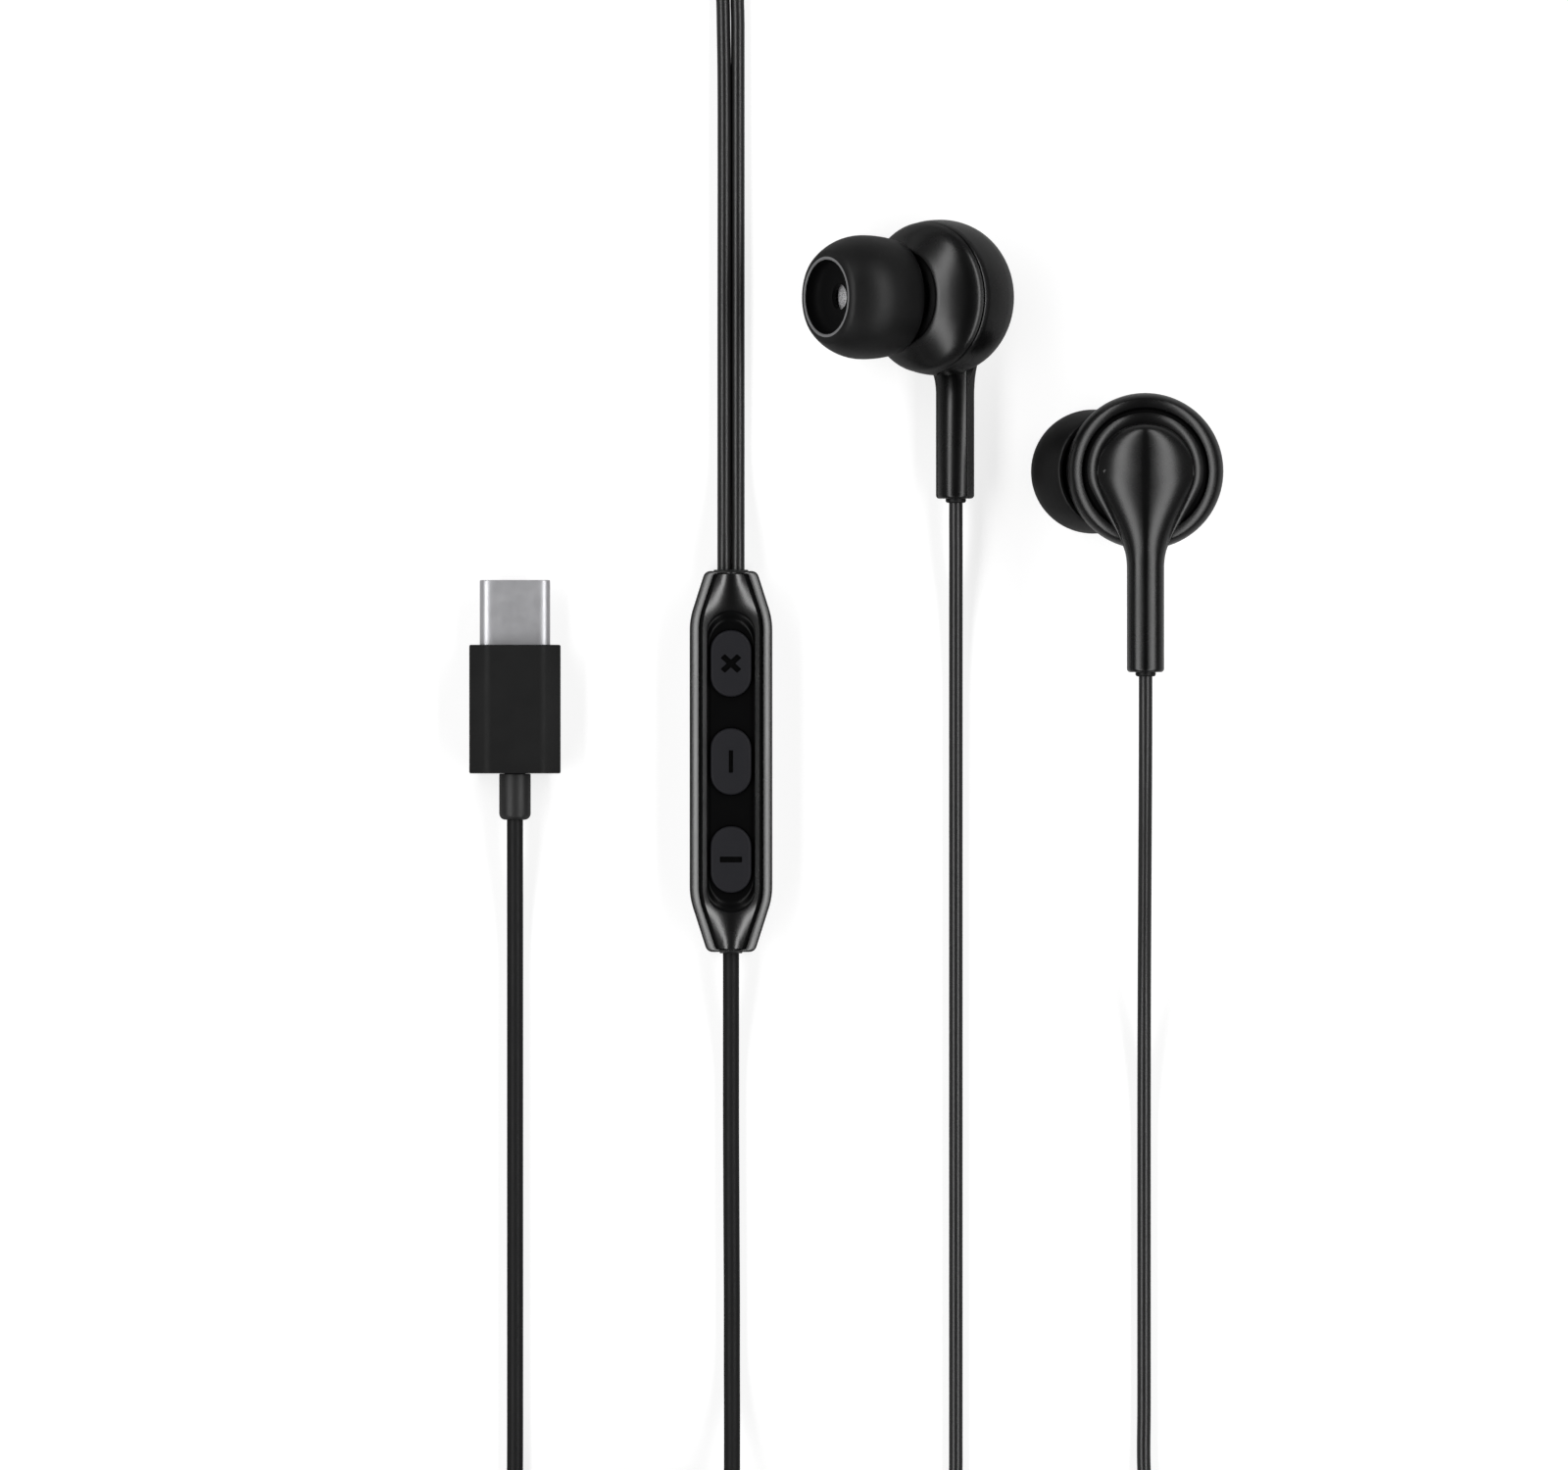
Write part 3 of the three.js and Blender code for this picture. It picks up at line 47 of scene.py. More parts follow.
BOX_ASIDE, BOX_HEIGHT, BOX_WIDTH, BOX_LENGTH, BOX_WATTS = 0.47, 0.54, 0.2, 2.2, 6.9
ROOM_STRENGTH = 0.13
FLOOR_REACH, FLOOR_WHITE, FLOOR_LIFT = 1.5, 0.42, 0.72
WHITE = (1.0, 1.0, 1.0)

lens = bpy.data.cameras.new("overhead_lens")
lens.lens = LENS_LENGTH
lens.clip_end = 20.0
camera = bpy.data.objects.new("overhead_camera", lens)
height = PICTURE_WIDTH * PIXEL * LENS_LENGTH / lens.sensor_width
camera.location = VIEW_MIDDLE + Vector((0.0, 0.0, height))
bpy.context.scene.collection.objects.link(camera)
bpy.context.scene.camera = camera
bpy.context.scene.view_settings.view_transform = "Standard"

for side, sign in (("left", -1), ("right", 1)):
    lamp = bpy.data.lights.new(f"{side}_soft_box", "AREA")
    lamp.shape = "RECTANGLE"
    lamp.size, lamp.size_y, lamp.energy = BOX_LENGTH, BOX_WIDTH, BOX_WATTS
    box = bpy.data.objects.new(f"{side}_soft_box", lamp)
    box.location = (sign * BOX_ASIDE, 0.0, BOX_HEIGHT)
    toward = Vector((-0.01, -0.01, 0.0)) - box.location
    box.rotation_euler = toward.to_track_quat("-Z", "Y").to_euler()
    bpy.context.scene.collection.objects.link(box)


def feed(tree, node, settings):
    """Sets a node's sockets, each to a value or a link; a node's kind makes a new one."""
    if isinstance(node, str):
        node = tree.nodes.new(node)
    for socket, setting in settings.items():
        if isinstance(setting, bpy.types.NodeSocket):
            tree.links.new(setting, node.inputs[socket])
        else:
            node.inputs[socket].default_value = setting
    return node


def colours_by(tree, value, low, high):
    """A colour that a value takes from one position and colour to another."""
    ramp = feed(tree, "ShaderNodeValToRGB", {"Fac": value})
    for stop, (position, colour) in zip(ramp.color_ramp.elements, (low, high)):
        stop.position = position
        stop.color = (*colour, 1.0)
    return ramp.outputs["Color"]


def to_the_lens(tree):
    """A value of 1 where the camera itself looks, and 0 in reflections and shade."""
    return feed(tree, "ShaderNodeLightPath", {}).outputs["Is Camera Ray"]


room = bpy.data.worlds.new("studio_room")
bpy.context.scene.world = room
room.use_nodes = True
tree = room.node_tree
direction = feed(tree, "ShaderNodeTexCoord", {}).outputs["Generated"]
upward = feed(tree, "ShaderNodeSeparateXYZ", {0: direction}).outputs["Z"]
walls = colours_by(tree, upward, (0.2, WHITE), (0.93, (0.1, 0.1, 0.103)))
lit = feed(tree, tree.nodes["Background"], {"Color": walls, "Strength": ROOM_STRENGTH})
seen = feed(tree, "ShaderNodeBackground", {"Color": (*WHITE, 1.0)})
either = {"Fac": to_the_lens(tree), 1: lit.outputs[0], 2: seen.outputs[0]}
either = feed(tree, "ShaderNodeMixShader", either)
feed(tree, tree.nodes["World Output"], {"Surface": either.outputs[0]})

corners = [(x * FLOOR_REACH, y * FLOOR_REACH, 0.0) for x, y in ((-1, -1), (1, -1), (1, 1), (-1, 1))]
floor_mesh = bpy.data.meshes.new("white_sheet")
floor_mesh.from_pydata(corners, [], [(0, 1, 2, 3)])
floor = bpy.data.objects.new("white_sheet", floor_mesh)
bpy.context.scene.collection.objects.link(floor)
paper = bpy.data.materials.new("white_paper")
paper.use_nodes = True
tree = paper.node_tree
lift = feed(tree, "ShaderNodeMath", {0: to_the_lens(tree), 1: FLOOR_LIFT})
lift.operation = "MULTIPLY"
feed(
    tree,
    tree.nodes["Principled BSDF"],
    {
        "Base Color": (FLOOR_WHITE, FLOOR_WHITE, FLOOR_WHITE, 1.0),
        "Roughness": 0.9,
        "Specular IOR Level": 0.1,
        "Emission Color": (*WHITE, 1.0),
        "Emission Strength": lift.outputs[0],
    },
)
floor.data.materials.append(paper)

# The plug's metal shell: nickel-plated steel drawn into an oval tube, with a rolled lead-in at
# its mouth. The moulded body grips its root; its inside is open to the contacts.
PLUG_FRONT = Vector((-51.76, -6.9, 3.0))
SHELL_WIDTH, SHELL_HEIGHT, SHELL_WALL = 8.25, 2.4, 0.3
SHELL_REACH, SHELL_ROOT, SHELL_TURN, LEAD_IN = 7.6, 3.0, 1.7, 0.14
MILLIMETRE = 0.001


def own_place(finish):
    """The place on the piece, which a finish lays its grain out by."""
    return feed(finish.node_tree, "ShaderNodeTexCoord", {}).outputs["Object"]


def clouding(finish, size, detail=3.0, place=None):
    """Soft irregular patches of about one size, in metres, as a value from 0 to 1."""
    patches = {"Vector": place or own_place(finish), "Scale": 1.0 / size, "Detail": detail}
    return feed(finish.node_tree, "ShaderNodeTexNoise", patches).outputs["Fac"]


def shade(finish, settings):
    """Sets sockets of a finish's one shader."""
    feed(finish.node_tree, finish.node_tree.nodes["Principled BSDF"], settings)


def new_finish(name, colour, roughness, patch=None, metallic=0.0, specular=None, ior=None):
    """A new finish. Its roughness is one number, or runs between two in patches of a size."""
    finish = bpy.data.materials.new(name)
    finish.use_nodes = True
    if patch is not None:
        scale = dict(zip(("From Min", "From Max", "To Min", "To Max"), (0.3, 0.7, *roughness)))
        scale["Value"] = clouding(finish, patch)
        roughness = feed(finish.node_tree, "ShaderNodeMapRange", scale).outputs["Result"]
    shade(finish, {"Base Color": (*colour, 1.0), "Roughness": roughness, "Metallic": metallic})
    for socket, value in (("Specular IOR Level", specular), ("IOR", ior)):
        if value is not None:
            shade(finish, {socket: value})
    return finish


def tone(finish, value, dark, pale, rise=(0.3, 0.7)):
    """Lays the colour out between a dark and a pale tone."""
    colour = colours_by(finish.node_tree, value, (rise[0], dark), (rise[1], pale))
    shade(finish, {"Base Color": colour})


def relief(finish, value, depth, strength=1.0):
    """Raises the surface by a value, to a depth in metres."""
    bump = {"Height": value, "Distance": depth, "Strength": strength}
    bump = feed(finish.node_tree, "ShaderNodeBump", bump)
    shade(finish, {"Normal": bump.outputs["Normal"]})


def skin(rings, joined=False):
    """Faces of a surface through rings of points: capped at both ends, or joined end to end."""
    count = len(rings[0])
    faces = []
    for near in range(len(rings) if joined else len(rings) - 1):
        far = (near + 1) % len(rings)
        for i in range(count):
            j = (i + 1) % count
            faces.append((near * count + i, near * count + j, far * count + j, far * count + i))
    if not joined:
        faces.append(tuple(range(count)))
        faces.append(tuple((len(rings) - 1) * count + i for i in range(count)))
    return [point for ring in rings for point in ring], faces


def settled(mesh, body, sharp):
    """Writes a body to its mesh, which is smooth but for edges over an angle."""
    bmesh.ops.recalc_face_normals(body, faces=body.faces)
    body.to_mesh(mesh)
    body.free()
    mesh.shade_smooth()
    mesh.set_sharp_from_angle(angle=math.radians(sharp))
    return mesh


def surface(name, points, faces, place=Matrix.Identity(4), sharp=35.0):
    """A mesh in metres from points in millimetres."""
    mesh = bpy.data.meshes.new(name)
    mesh.from_pydata([MILLIMETRE * (place @ Vector(point)) for point in points], [], faces)
    body = bmesh.new()
    body.from_mesh(mesh)
    bmesh.ops.remove_doubles(body, verts=body.verts, dist=1e-7)
    return settled(mesh, body, sharp)


def fitted(name, mesh, finish, body, slot, *stood_for):
    """Puts a piece on its body, in place of the solids that it stands for."""
    piece = bpy.data.objects.new(name, mesh)
    bpy.context.scene.collection.objects.link(piece)
    mesh.materials.append(finish)
    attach(piece, body)
    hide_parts(*stood_for)
    return piece


def rounding(size, steps):
    """The way round an eased edge: how far each point is in from its side and short of its face."""
    turns = [i / steps * math.pi / 2 for i in range(steps + 1)]
    return [(size * (1 - math.cos(turn)), size * (1 - math.sin(turn))) for turn in turns]


def four_turns(y, middle, size, steps, power=1.0):
    """A ring across the plug: four quarter turns, each of a size and about its own middle."""
    ring = []
    for corner in range(4):
        side_x, side_z = 1 if corner in (0, 3) else -1, 1 if corner < 2 else -1
        for i in range(steps + 1):
            angle = (corner + i / steps) * math.pi / 2
            across = middle[0] + size[0] * abs(math.cos(angle)) ** power
            up = middle[1] + size[1] * abs(math.sin(angle)) ** power
            ring.append((side_x * across, y, side_z * up))
    return ring


def shell_ring(y, inset):
    """An oval across the plug: flat faces that turn softly into its round sides."""
    size = SHELL_TURN - inset, SHELL_HEIGHT / 2 - inset
    return four_turns(y, (SHELL_WIDTH / 2 - SHELL_TURN, 0.0), size, 14, power=0.8)


at_plug = Matrix.Translation(PLUG_FRONT)
nickel = new_finish("nickel_plate", (0.6, 0.6, 0.62), (0.37, 0.43), 0.0012, metallic=0.7)
drawn_out = {"Vector": own_place(nickel), "Scale": (9.0, 0.35, 9.0)}
drawn_out = feed(nickel.node_tree, "ShaderNodeMapping", drawn_out).outputs["Vector"]
relief(nickel, clouding(nickel, 0.0016, 2.0, drawn_out), 4e-7, strength=0.4)
rings = [shell_ring(-SHELL_ROOT, 0.0), shell_ring(SHELL_REACH - LEAD_IN, 0.0)]
rings += [shell_ring(SHELL_REACH - short, inset) for inset, short in rounding(LEAD_IN, 6)[1:]]
rings += [shell_ring(SHELL_REACH, SHELL_WALL - 0.05), shell_ring(SHELL_REACH - 0.05, SHELL_WALL)]
rings.append(shell_ring(-SHELL_ROOT, SHELL_WALL))
name = "connector_shell_plated"
mesh = surface(name, *skin(rings, joined=True), at_plug)
shell = fitted(name, mesh, nickel, "earphones", "nickel", "connector_shell")

# The plug's moulded body: one overmould of matte rubbery plastic with a broad bevel along each
# long edge, the fine haze of a spark-worn mould, and crisp ends.
BODY_WIDTH, BODY_HEIGHT, BODY_LENGTH = 10.7, 6.0, 15.1
BEVEL_WIDTH, BEVEL_HEIGHT, BODY_EASE, RIDGE_EASE = 2.1, 1.3, 0.16, 0.55
MOUTH_WIDTH, MOUTH_HEIGHT, MOUTH_DEPTH = SHELL_WIDTH + 0.06, SHELL_HEIGHT + 0.06, 1.6
INNER_WIDTH, INNER_HEIGHT, CORD_HOLE, CORD_HOLE_DEPTH = 8.85, 3.0, 2.64, 1.4
mould_rubber = new_finish(
    "matte_plug_rubber", (0.0094, 0.0095, 0.0096), (0.46, 0.56), 0.003, specular=0.17
)
relief(mould_rubber, clouding(mould_rubber, 0.00012, detail=2.0), 1.2e-5, strength=0.6)
patches = clouding(mould_rubber, 0.0045)
tone(mould_rubber, patches, (0.0086, 0.0087, 0.0088), (0.0102, 0.0103, 0.0104))


def rounded(width, height, radius, steps, y):
    """A rounded rectangle of points across the plug, at one place along it."""
    return four_turns(y, (width / 2 - radius, height / 2 - radius), (radius, radius), steps)


def eased(corners, reaches, edge_parts, steps=6):
    """A closed outline: each corner drawn in to a small arc, each edge cut into parts."""
    arcs = []
    for i, corner in enumerate(corners):
        corner = Vector(corner)
        before = corner + (Vector(corners[i - 1]) - corner).normalized() * reaches[i]
        after = Vector(corners[(i + 1) % len(corners)])
        after = corner + (after - corner).normalized() * reaches[i]
        shares = [step / steps for step in range(steps + 1)]
        arcs.append([before.lerp(corner, t).lerp(corner.lerp(after, t), t) for t in shares])
    outline = []
    for i, arc in enumerate(arcs):
        start, end = arc[-1], arcs[(i + 1) % len(arcs)][0]
        outline += arc
        outline += [start.lerp(end, k / edge_parts[i]) for k in range(1, edge_parts[i])]
    return outline


def body_section(y, inset):
    """The body's outline across the cord: eight corners, each eased by a small arc."""
    wide, high = BODY_WIDTH / 2 - inset, BODY_HEIGHT / 2 - inset
    corners = [(wide, high - BEVEL_HEIGHT), (wide - BEVEL_WIDTH, high)]
    corners += [(-x, z) for x, z in reversed(corners)]
    corners += [(-x, -z) for x, z in corners]
    eases = [BODY_EASE, RIDGE_EASE, RIDGE_EASE, BODY_EASE] * 2
    return [(point.x, y, point.y) for point in eased(corners, eases, [1] * 8, steps=7)]


def hole_section(y, width, height, radius):
    """A rounded hole with as many points as the body's outline."""
    return rounded(width, height, radius, 15, y)


ends = ((0.0, 0.16), (-0.05, 0.05), (-0.16, 0.0))
rings = [
    hole_section(-MOUTH_DEPTH, MOUTH_WIDTH, MOUTH_HEIGHT, 1.2),
    hole_section(-0.08, MOUTH_WIDTH, MOUTH_HEIGHT, 1.2),
    hole_section(0.0, MOUTH_WIDTH + 0.16, MOUTH_HEIGHT + 0.16, 1.28),
]
rings += [body_section(y, inset) for y, inset in ends]
rings += [body_section(-BODY_LENGTH - y, inset) for y, inset in reversed(ends)]
rings += [
    hole_section(-BODY_LENGTH, CORD_HOLE, CORD_HOLE, 1.31),
    hole_section(CORD_HOLE_DEPTH - BODY_LENGTH, CORD_HOLE, CORD_HOLE, 1.31),
    hole_section(CORD_HOLE_DEPTH - BODY_LENGTH, INNER_WIDTH, INNER_HEIGHT, 0.3),
    hole_section(-MOUTH_DEPTH, INNER_WIDTH, INNER_HEIGHT, 0.3),
]
name = "plug_body_moulded"
mesh = surface(name, *skin(rings, joined=True), at_plug)
plug_body = fitted(name, mesh, mould_rubber, "earphones", "plug_rubber", "plug_body")

# The strain relief: a short round collar of smoother black rubber behind the body, its far edge
# well rounded, with a hole that the cord goes into.
RELIEF_RADIUS, RELIEF_LENGTH, RELIEF_ROUND, RELIEF_ROOT = 1.85, 5.45, 0.75, 1.3
CORD_RADIUS = 0.95


def turned(profile, sides=48):
    """Rings of points round the y axis, from a list of radius and place along it."""
    rings = []
    for radius, along in profile:
        ring = []
        for i in range(sides):
            angle = 2 * math.pi * i / sides
            ring.append((radius * math.cos(angle), along, radius * math.sin(angle)))
        rings.append(ring)
    return rings


relief_rubber = new_finish(
    "relief_rubber", (0.0044, 0.0044, 0.0045), (0.47, 0.53), 0.002, specular=0.6
)
root, tail = -BODY_LENGTH, -BODY_LENGTH - RELIEF_LENGTH
profile = [(1.25, root + RELIEF_ROOT), (1.25, root - 0.02), (RELIEF_RADIUS - 0.1, root - 0.02)]
profile += [(RELIEF_RADIUS, root - 0.12)]
profile += [(RELIEF_RADIUS - inset, tail + short) for inset, short in rounding(RELIEF_ROUND, 8)]
profile += [(CORD_RADIUS + 0.14, tail), (CORD_RADIUS + 0.02, tail + 0.1)]
profile += [(CORD_RADIUS + 0.02, root + RELIEF_ROOT)]
name = "strain_relief_moulded"
mesh = surface(name, *skin(turned(profile), joined=True), at_plug)
relief_collar = fitted(name, mesh, relief_rubber, "earphones", "plug_rubber", "strain_relief")

# Inside the plug: the black contact carrier, two combs of gold-plated spring contacts, the latch
# plate and the green board with its chip. Their shapes come from the solids, with fine finishes.
carrier = new_finish("glossy_carrier_plastic", (0.012, 0.012, 0.013), (0.3, 0.42), 0.001)
gold = new_finish("contact_gold", (0.72, 0.46, 0.16), (0.22, 0.36), 0.0008, metallic=1.0)
board_green = new_finish("board_lacquer", (0.012, 0.07, 0.026), 0.4)
tone(board_green, clouding(board_green, 0.0009), (0.009, 0.055, 0.02), (0.016, 0.085, 0.033))
chip_black = new_finish("chip_resin", (0.016, 0.016, 0.018), 0.5)
relief(chip_black, clouding(chip_black, 0.00008), 5e-6)


def refinish(finishes):
    """Gives solids that stay as they are their fine finishes, by name."""
    for name, finish in finishes.items():
        nodes[name].data.materials.clear()
        nodes[name].data.materials.append(finish)


refinish({"contact_carrier": carrier, "upper_contacts": gold, "lower_contacts": gold})
refinish({"latch_plate": nickel, "plug_board": board_green, "audio_chip": chip_black})

# The main cord: one round lead with a satin soft skin, from the plug to the remote. Past the
# lower edge of the picture its length is wound in a neat coil under a black strap.
COIL_MIDDLE = Vector((-39.03, -118.0, 0.0))
COIL_TURNS, COIL_LAYERS, TURN_STEPS = 7.5, 4, 36
COIL_OUTER, COIL_PITCH, COIL_RISE = 12.75, 2.4, 2.4
STRAP_THICKNESS, STRAP_WIDTH, STRAP_EASE, CLEARANCE = 0.6, 3.0, 0.12, 0.3

PLUG_SIDE_ROUTE = [
    (-51.76, -26.5, 3.0), (-51.76, -28.0, 3.0), (-51.76, -31.0, 2.9), (-51.76, -37.0, 1.7),
    (-51.76, -43.0, 1.0), (-51.76, -50.0, 0.97), (-51.76, -60.0, 0.97), (-51.76, -100.0, 0.97),
]
REMOTE_SIDE_ROUTE = [
    (-26.28, -113.5, 8.1), (-26.28, -109.0, 7.1), (-26.28, -103.0, 4.6), (-26.28, -97.0, 2.3),
    (-26.3, -91.0, 1.1), (-26.3, -84.0, 0.97), (-26.35, -74.0, 0.97), (-26.4, -62.0, 0.97),
    (-26.4, -56.0, 1.1), (-26.4, -50.0, 2.3), (-26.4, -45.5, 3.25), (-26.4, -42.2, 3.3),
]


def gently(share):
    """A share from 0 to 1 that starts and stops softly; past its ends it stays."""
    share = min(max(share, 0.0), 1.0)
    return share * share * (3 - 2 * share)


def coil_route():
    """The coil from the plug's side: in and out in four layers, humping over the strap."""
    in_a_layer = COIL_TURNS / COIL_LAYERS
    route = []
    for i in range(round(COIL_TURNS * TURN_STEPS) + 1):
        turn = i / TURN_STEPS
        layer, along = divmod(turn, in_a_layer)
        inward = along if layer % 2 == 0 else in_a_layer - along
        radius = COIL_OUTER - COIL_PITCH * inward
        angle = math.pi * (1 + 2 * turn)
        z = CORD_RADIUS
        for reversal in range(1, COIL_LAYERS):
            z += COIL_RISE * gently((turn - reversal * in_a_layer + 0.25) / 0.5)
        from_strap = math.acos(-math.sin(angle))
        share = min(from_strap / math.radians(60), 1.0)
        z += (STRAP_THICKNESS + CLEARANCE) * math.cos(share * math.pi / 2) ** 2
        route.append(COIL_MIDDLE + Vector((radius * math.cos(angle), radius * math.sin(angle), z)))
    return route


def smooth_line(route, spacing):
    """Points about a spacing apart on the one smooth curve that runs through a route."""
    route = [Vector(point) for point in route]
    ends = [2 * route[0] - route[1], *route, 2 * route[-1] - route[-2]]
    line = []
    for before, start, end, after in zip(ends, ends[1:], ends[2:], ends[3:]):
        gaps = [math.sqrt((b - a).length) for a, b in ((before, start), (start, end), (end, after))]
        first, middle, last = gaps
        leaving = (start - before) / first - (end - before) / (first + middle)
        leaving = (leaving + (end - start) / middle) * middle
        arriving = (end - start) / middle - (after - start) / (middle + last)
        arriving = (arriving + (after - end) / last) * middle
        steps = max(1, round((end - start).length / spacing))
        for i in range(steps):
            t = i / steps
            point = start * (2 * t**3 - 3 * t**2 + 1) + end * (3 * t**2 - 2 * t**3)
            line.append(point + leaving * (t**3 - 2 * t**2 + t) + arriving * (t**3 - t**2))
    return [*line, route[-1]]


def lead(name, line, radius, finish, *stood_for):
    """A round cord along a line, its ends closed, in place of the solids that it stands for."""
    curve = bpy.data.curves.new(name, "CURVE")
    curve.dimensions = "3D"
    curve.twist_mode = "MINIMUM"
    curve.bevel_depth = radius * MILLIMETRE
    curve.bevel_resolution = 6
    curve.use_fill_caps = True
    run = curve.splines.new("POLY")
    run.points.add(len(line) - 1)
    for spot, point in zip(run.points, line):
        spot.co = (*(point * MILLIMETRE), 1.0)
    run.use_smooth = True
    return fitted(name, curve, finish, "earphones", "cord_skin", *stood_for)


cord_skin = new_finish(
    "satin_cord_skin", (0.0082, 0.0082, 0.0085), (0.46, 0.56), 0.0022, specular=0.2
)
relief(cord_skin, clouding(cord_skin, 0.00025, detail=2.0), 6e-6, strength=0.5)
patches = clouding(cord_skin, 0.006)
tone(cord_skin, patches, (0.0072, 0.0072, 0.0074), (0.0092, 0.0092, 0.0095))

route = [*REMOTE_SIDE_ROUTE[::-1], *coil_route()[::-1], *PLUG_SIDE_ROUTE[::-1]]
main_line = smooth_line(route, 1.0)
solids = ["main_cord_plug_side", "main_cord_coil", "main_cord_remote_side"]
main_cord = lead("main_cord", main_line, CORD_RADIUS, cord_skin, *solids)

# The coil's strap: a flat, finely ribbed black band of soft plastic that is closed round all the
# turns at one side of the coil, a little wider than they are.
def strap_ring(x, extra):
    """The band's outline across itself, at one place along it and a height off the cord."""
    innermost = COIL_OUTER - COIL_PITCH * COIL_TURNS / COIL_LAYERS
    depth = COIL_OUTER - innermost + 2 * CORD_RADIUS + 2 * CLEARANCE + 2 * extra
    tall = COIL_RISE * (COIL_LAYERS - 1) + 2 * CORD_RADIUS + 2 * CLEARANCE + 2 * extra
    middle = Vector((0.0, -(COIL_OUTER + innermost) / 2, STRAP_THICKNESS + tall / 2 - extra))
    around = rounded(depth, tall, 0.9 + extra, 8, 0.0)
    return [middle + Vector((x, across, up)) for across, _, up in around]


def ribbing(finish, scale, direction):
    """Even ribs that follow one another along one axis of the piece."""
    ribs = {"Vector": own_place(finish), "Scale": scale}
    ribs = feed(finish.node_tree, "ShaderNodeTexWave", ribs)
    ribs.bands_direction = direction
    return ribs.outputs["Fac"]


strap_plastic = new_finish("strap_plastic", (0.0075, 0.0077, 0.008), (0.44, 0.6), 0.002)
relief(strap_plastic, ribbing(strap_plastic, 500.0, "X"), 2e-5, strength=0.4)
half, full, edge = STRAP_WIDTH / 2, STRAP_THICKNESS, STRAP_EASE
corners = [(-half, edge), (-half, full - edge), (edge - half, full), (half - edge, full)]
corners += [(half, full - edge), (half, edge), (half - edge, 0.0), (edge - half, 0.0)]
rings = [strap_ring(*corner) for corner in corners]
mesh = surface("coil_strap", *skin(rings, joined=True), Matrix.Translation(COIL_MIDDLE))
strap = fitted("coil_strap", mesh, strap_plastic, "earphones", "tie_plastic", "coil_tie")

# The remote's front shell: glossy black moulded plastic. A crowned face falls to a fine groove
# and a polished bevel along each side, and a scooped, duller recess holds the three buttons.
REMOTE_MIDDLE = Vector((-26.4, -20.6, 0.0))
REMOTE_END, REMOTE_SIDE, REMOTE_HEIGHT = 22.35, 4.85, 6.6
TOP_TAPER, BOTTOM_TAPER, TOP_END_SIDE, BOTTOM_END_SIDE = 5.65, 6.4, 3.05, 2.8
PARTING, PARTING_GAP = 3.3, 0.03
CROWN, END_CROWN, FACE_SIDE, RIM_END = 0.36, 0.72, 3.3, 17.75
RECESS_SIDE, RECESS_FLOOR, ROOF_UNDER = 2.72, 5.75, 5.1
BUTTON_SIDE, BUTTON_END, BUTTON_PITCH = 2.4, 3.925, 11.5
BUTTON_PLAY, SHELL_INSET = 0.08, 1.1
DEEP_BLACK = (0.0018, 0.0018, 0.0019)


def remote_outline(inset, end_share=0.25):
    """The remote seen from above, drawn in by an inset, and by a share of it at its ends."""
    side, reach = REMOTE_SIDE - inset, REMOTE_END - inset * end_share
    top, bottom = TOP_END_SIDE - inset, BOTTOM_END_SIDE - inset
    right = [
        (bottom, -reach),
        (side, BOTTOM_TAPER - REMOTE_END),
        (side, REMOTE_END - TOP_TAPER),
        (top, reach),
    ]
    corners = right + [(-x, y) for x, y in reversed(right)]
    tight = max(0.7 - 0.35 * inset, 0.12)
    reaches = [tight, 1.3, 1.3, tight, tight, 1.3, 1.3, tight]
    return eased(corners, reaches, [8, 40, 8, 8, 8, 40, 8, 8])


OUTLINE = remote_outline(0.0)
INNER_OUTLINE = remote_outline(1.0)
SIDE_SHARES = [
    min(max(((a - b).length - 0.3) / 0.5, 0.0), 1.0) for a, b in zip(OUTLINE, INNER_OUTLINE)
]


def crown_at(x, y):
    """The height of the face, which falls by the same drop from its middle line to each edge."""
    taper, narrowing = TOP_TAPER, REMOTE_SIDE - TOP_END_SIDE
    if y < 0:
        taper, narrowing = BOTTOM_TAPER, REMOTE_SIDE - BOTTOM_END_SIDE
    along = min(max((abs(y) - REMOTE_END + taper) / taper, 0.0), 1.0)
    side = FACE_SIDE - narrowing * 1.15 * along**2 / (along + 0.15)
    drop = CROWN + (END_CROWN - CROWN) * gently(along / 0.4)
    return REMOTE_HEIGHT - drop * min(abs(x) / side, 1.0) ** 2


def face_ring(inset, side_height, end_drop):
    """A ring of the front shell: a height at its sides, a drop from the crown at its ends."""
    ring = []
    for point, share in zip(remote_outline(inset), SIDE_SHARES):
        at_end = crown_at(*point) - end_drop
        at_side = crown_at(*point) if side_height is None else side_height
        ring.append(Vector((point.x, point.y, at_side * share + at_end * (1 - share))))
    return ring


def level_ring(inset, height, end_share=0.25):
    """A ring of the outline at one height."""
    return [Vector((p.x, p.y, height)) for p in remote_outline(inset, end_share)]


def recess_ring(side, end, height):
    """A ring of the recess, each point straight in from the outline; no height means the crown."""
    spine = end - side
    ring = []
    for point in remote_outline(1.6):
        foot = Vector((0.0, min(max(point.y, -spine), spine)))
        out = foot + (point - foot).normalized() * side
        ring.append(Vector((out.x, out.y, crown_at(out.x, out.y) if height is None else height)))
    return ring


def stadium(side, end, height, middle_y=0.0, steps=14):
    """A ring of points with straight sides and round ends."""
    ring = []
    for turn in range(2):
        for i in range(steps + 1):
            angle = math.pi * (turn + i / steps)
            y = side * math.sin(angle) + (end - side) * (1 - 2 * turn)
            ring.append(Vector((side * math.cos(angle), middle_y + y, height)))
    return ring


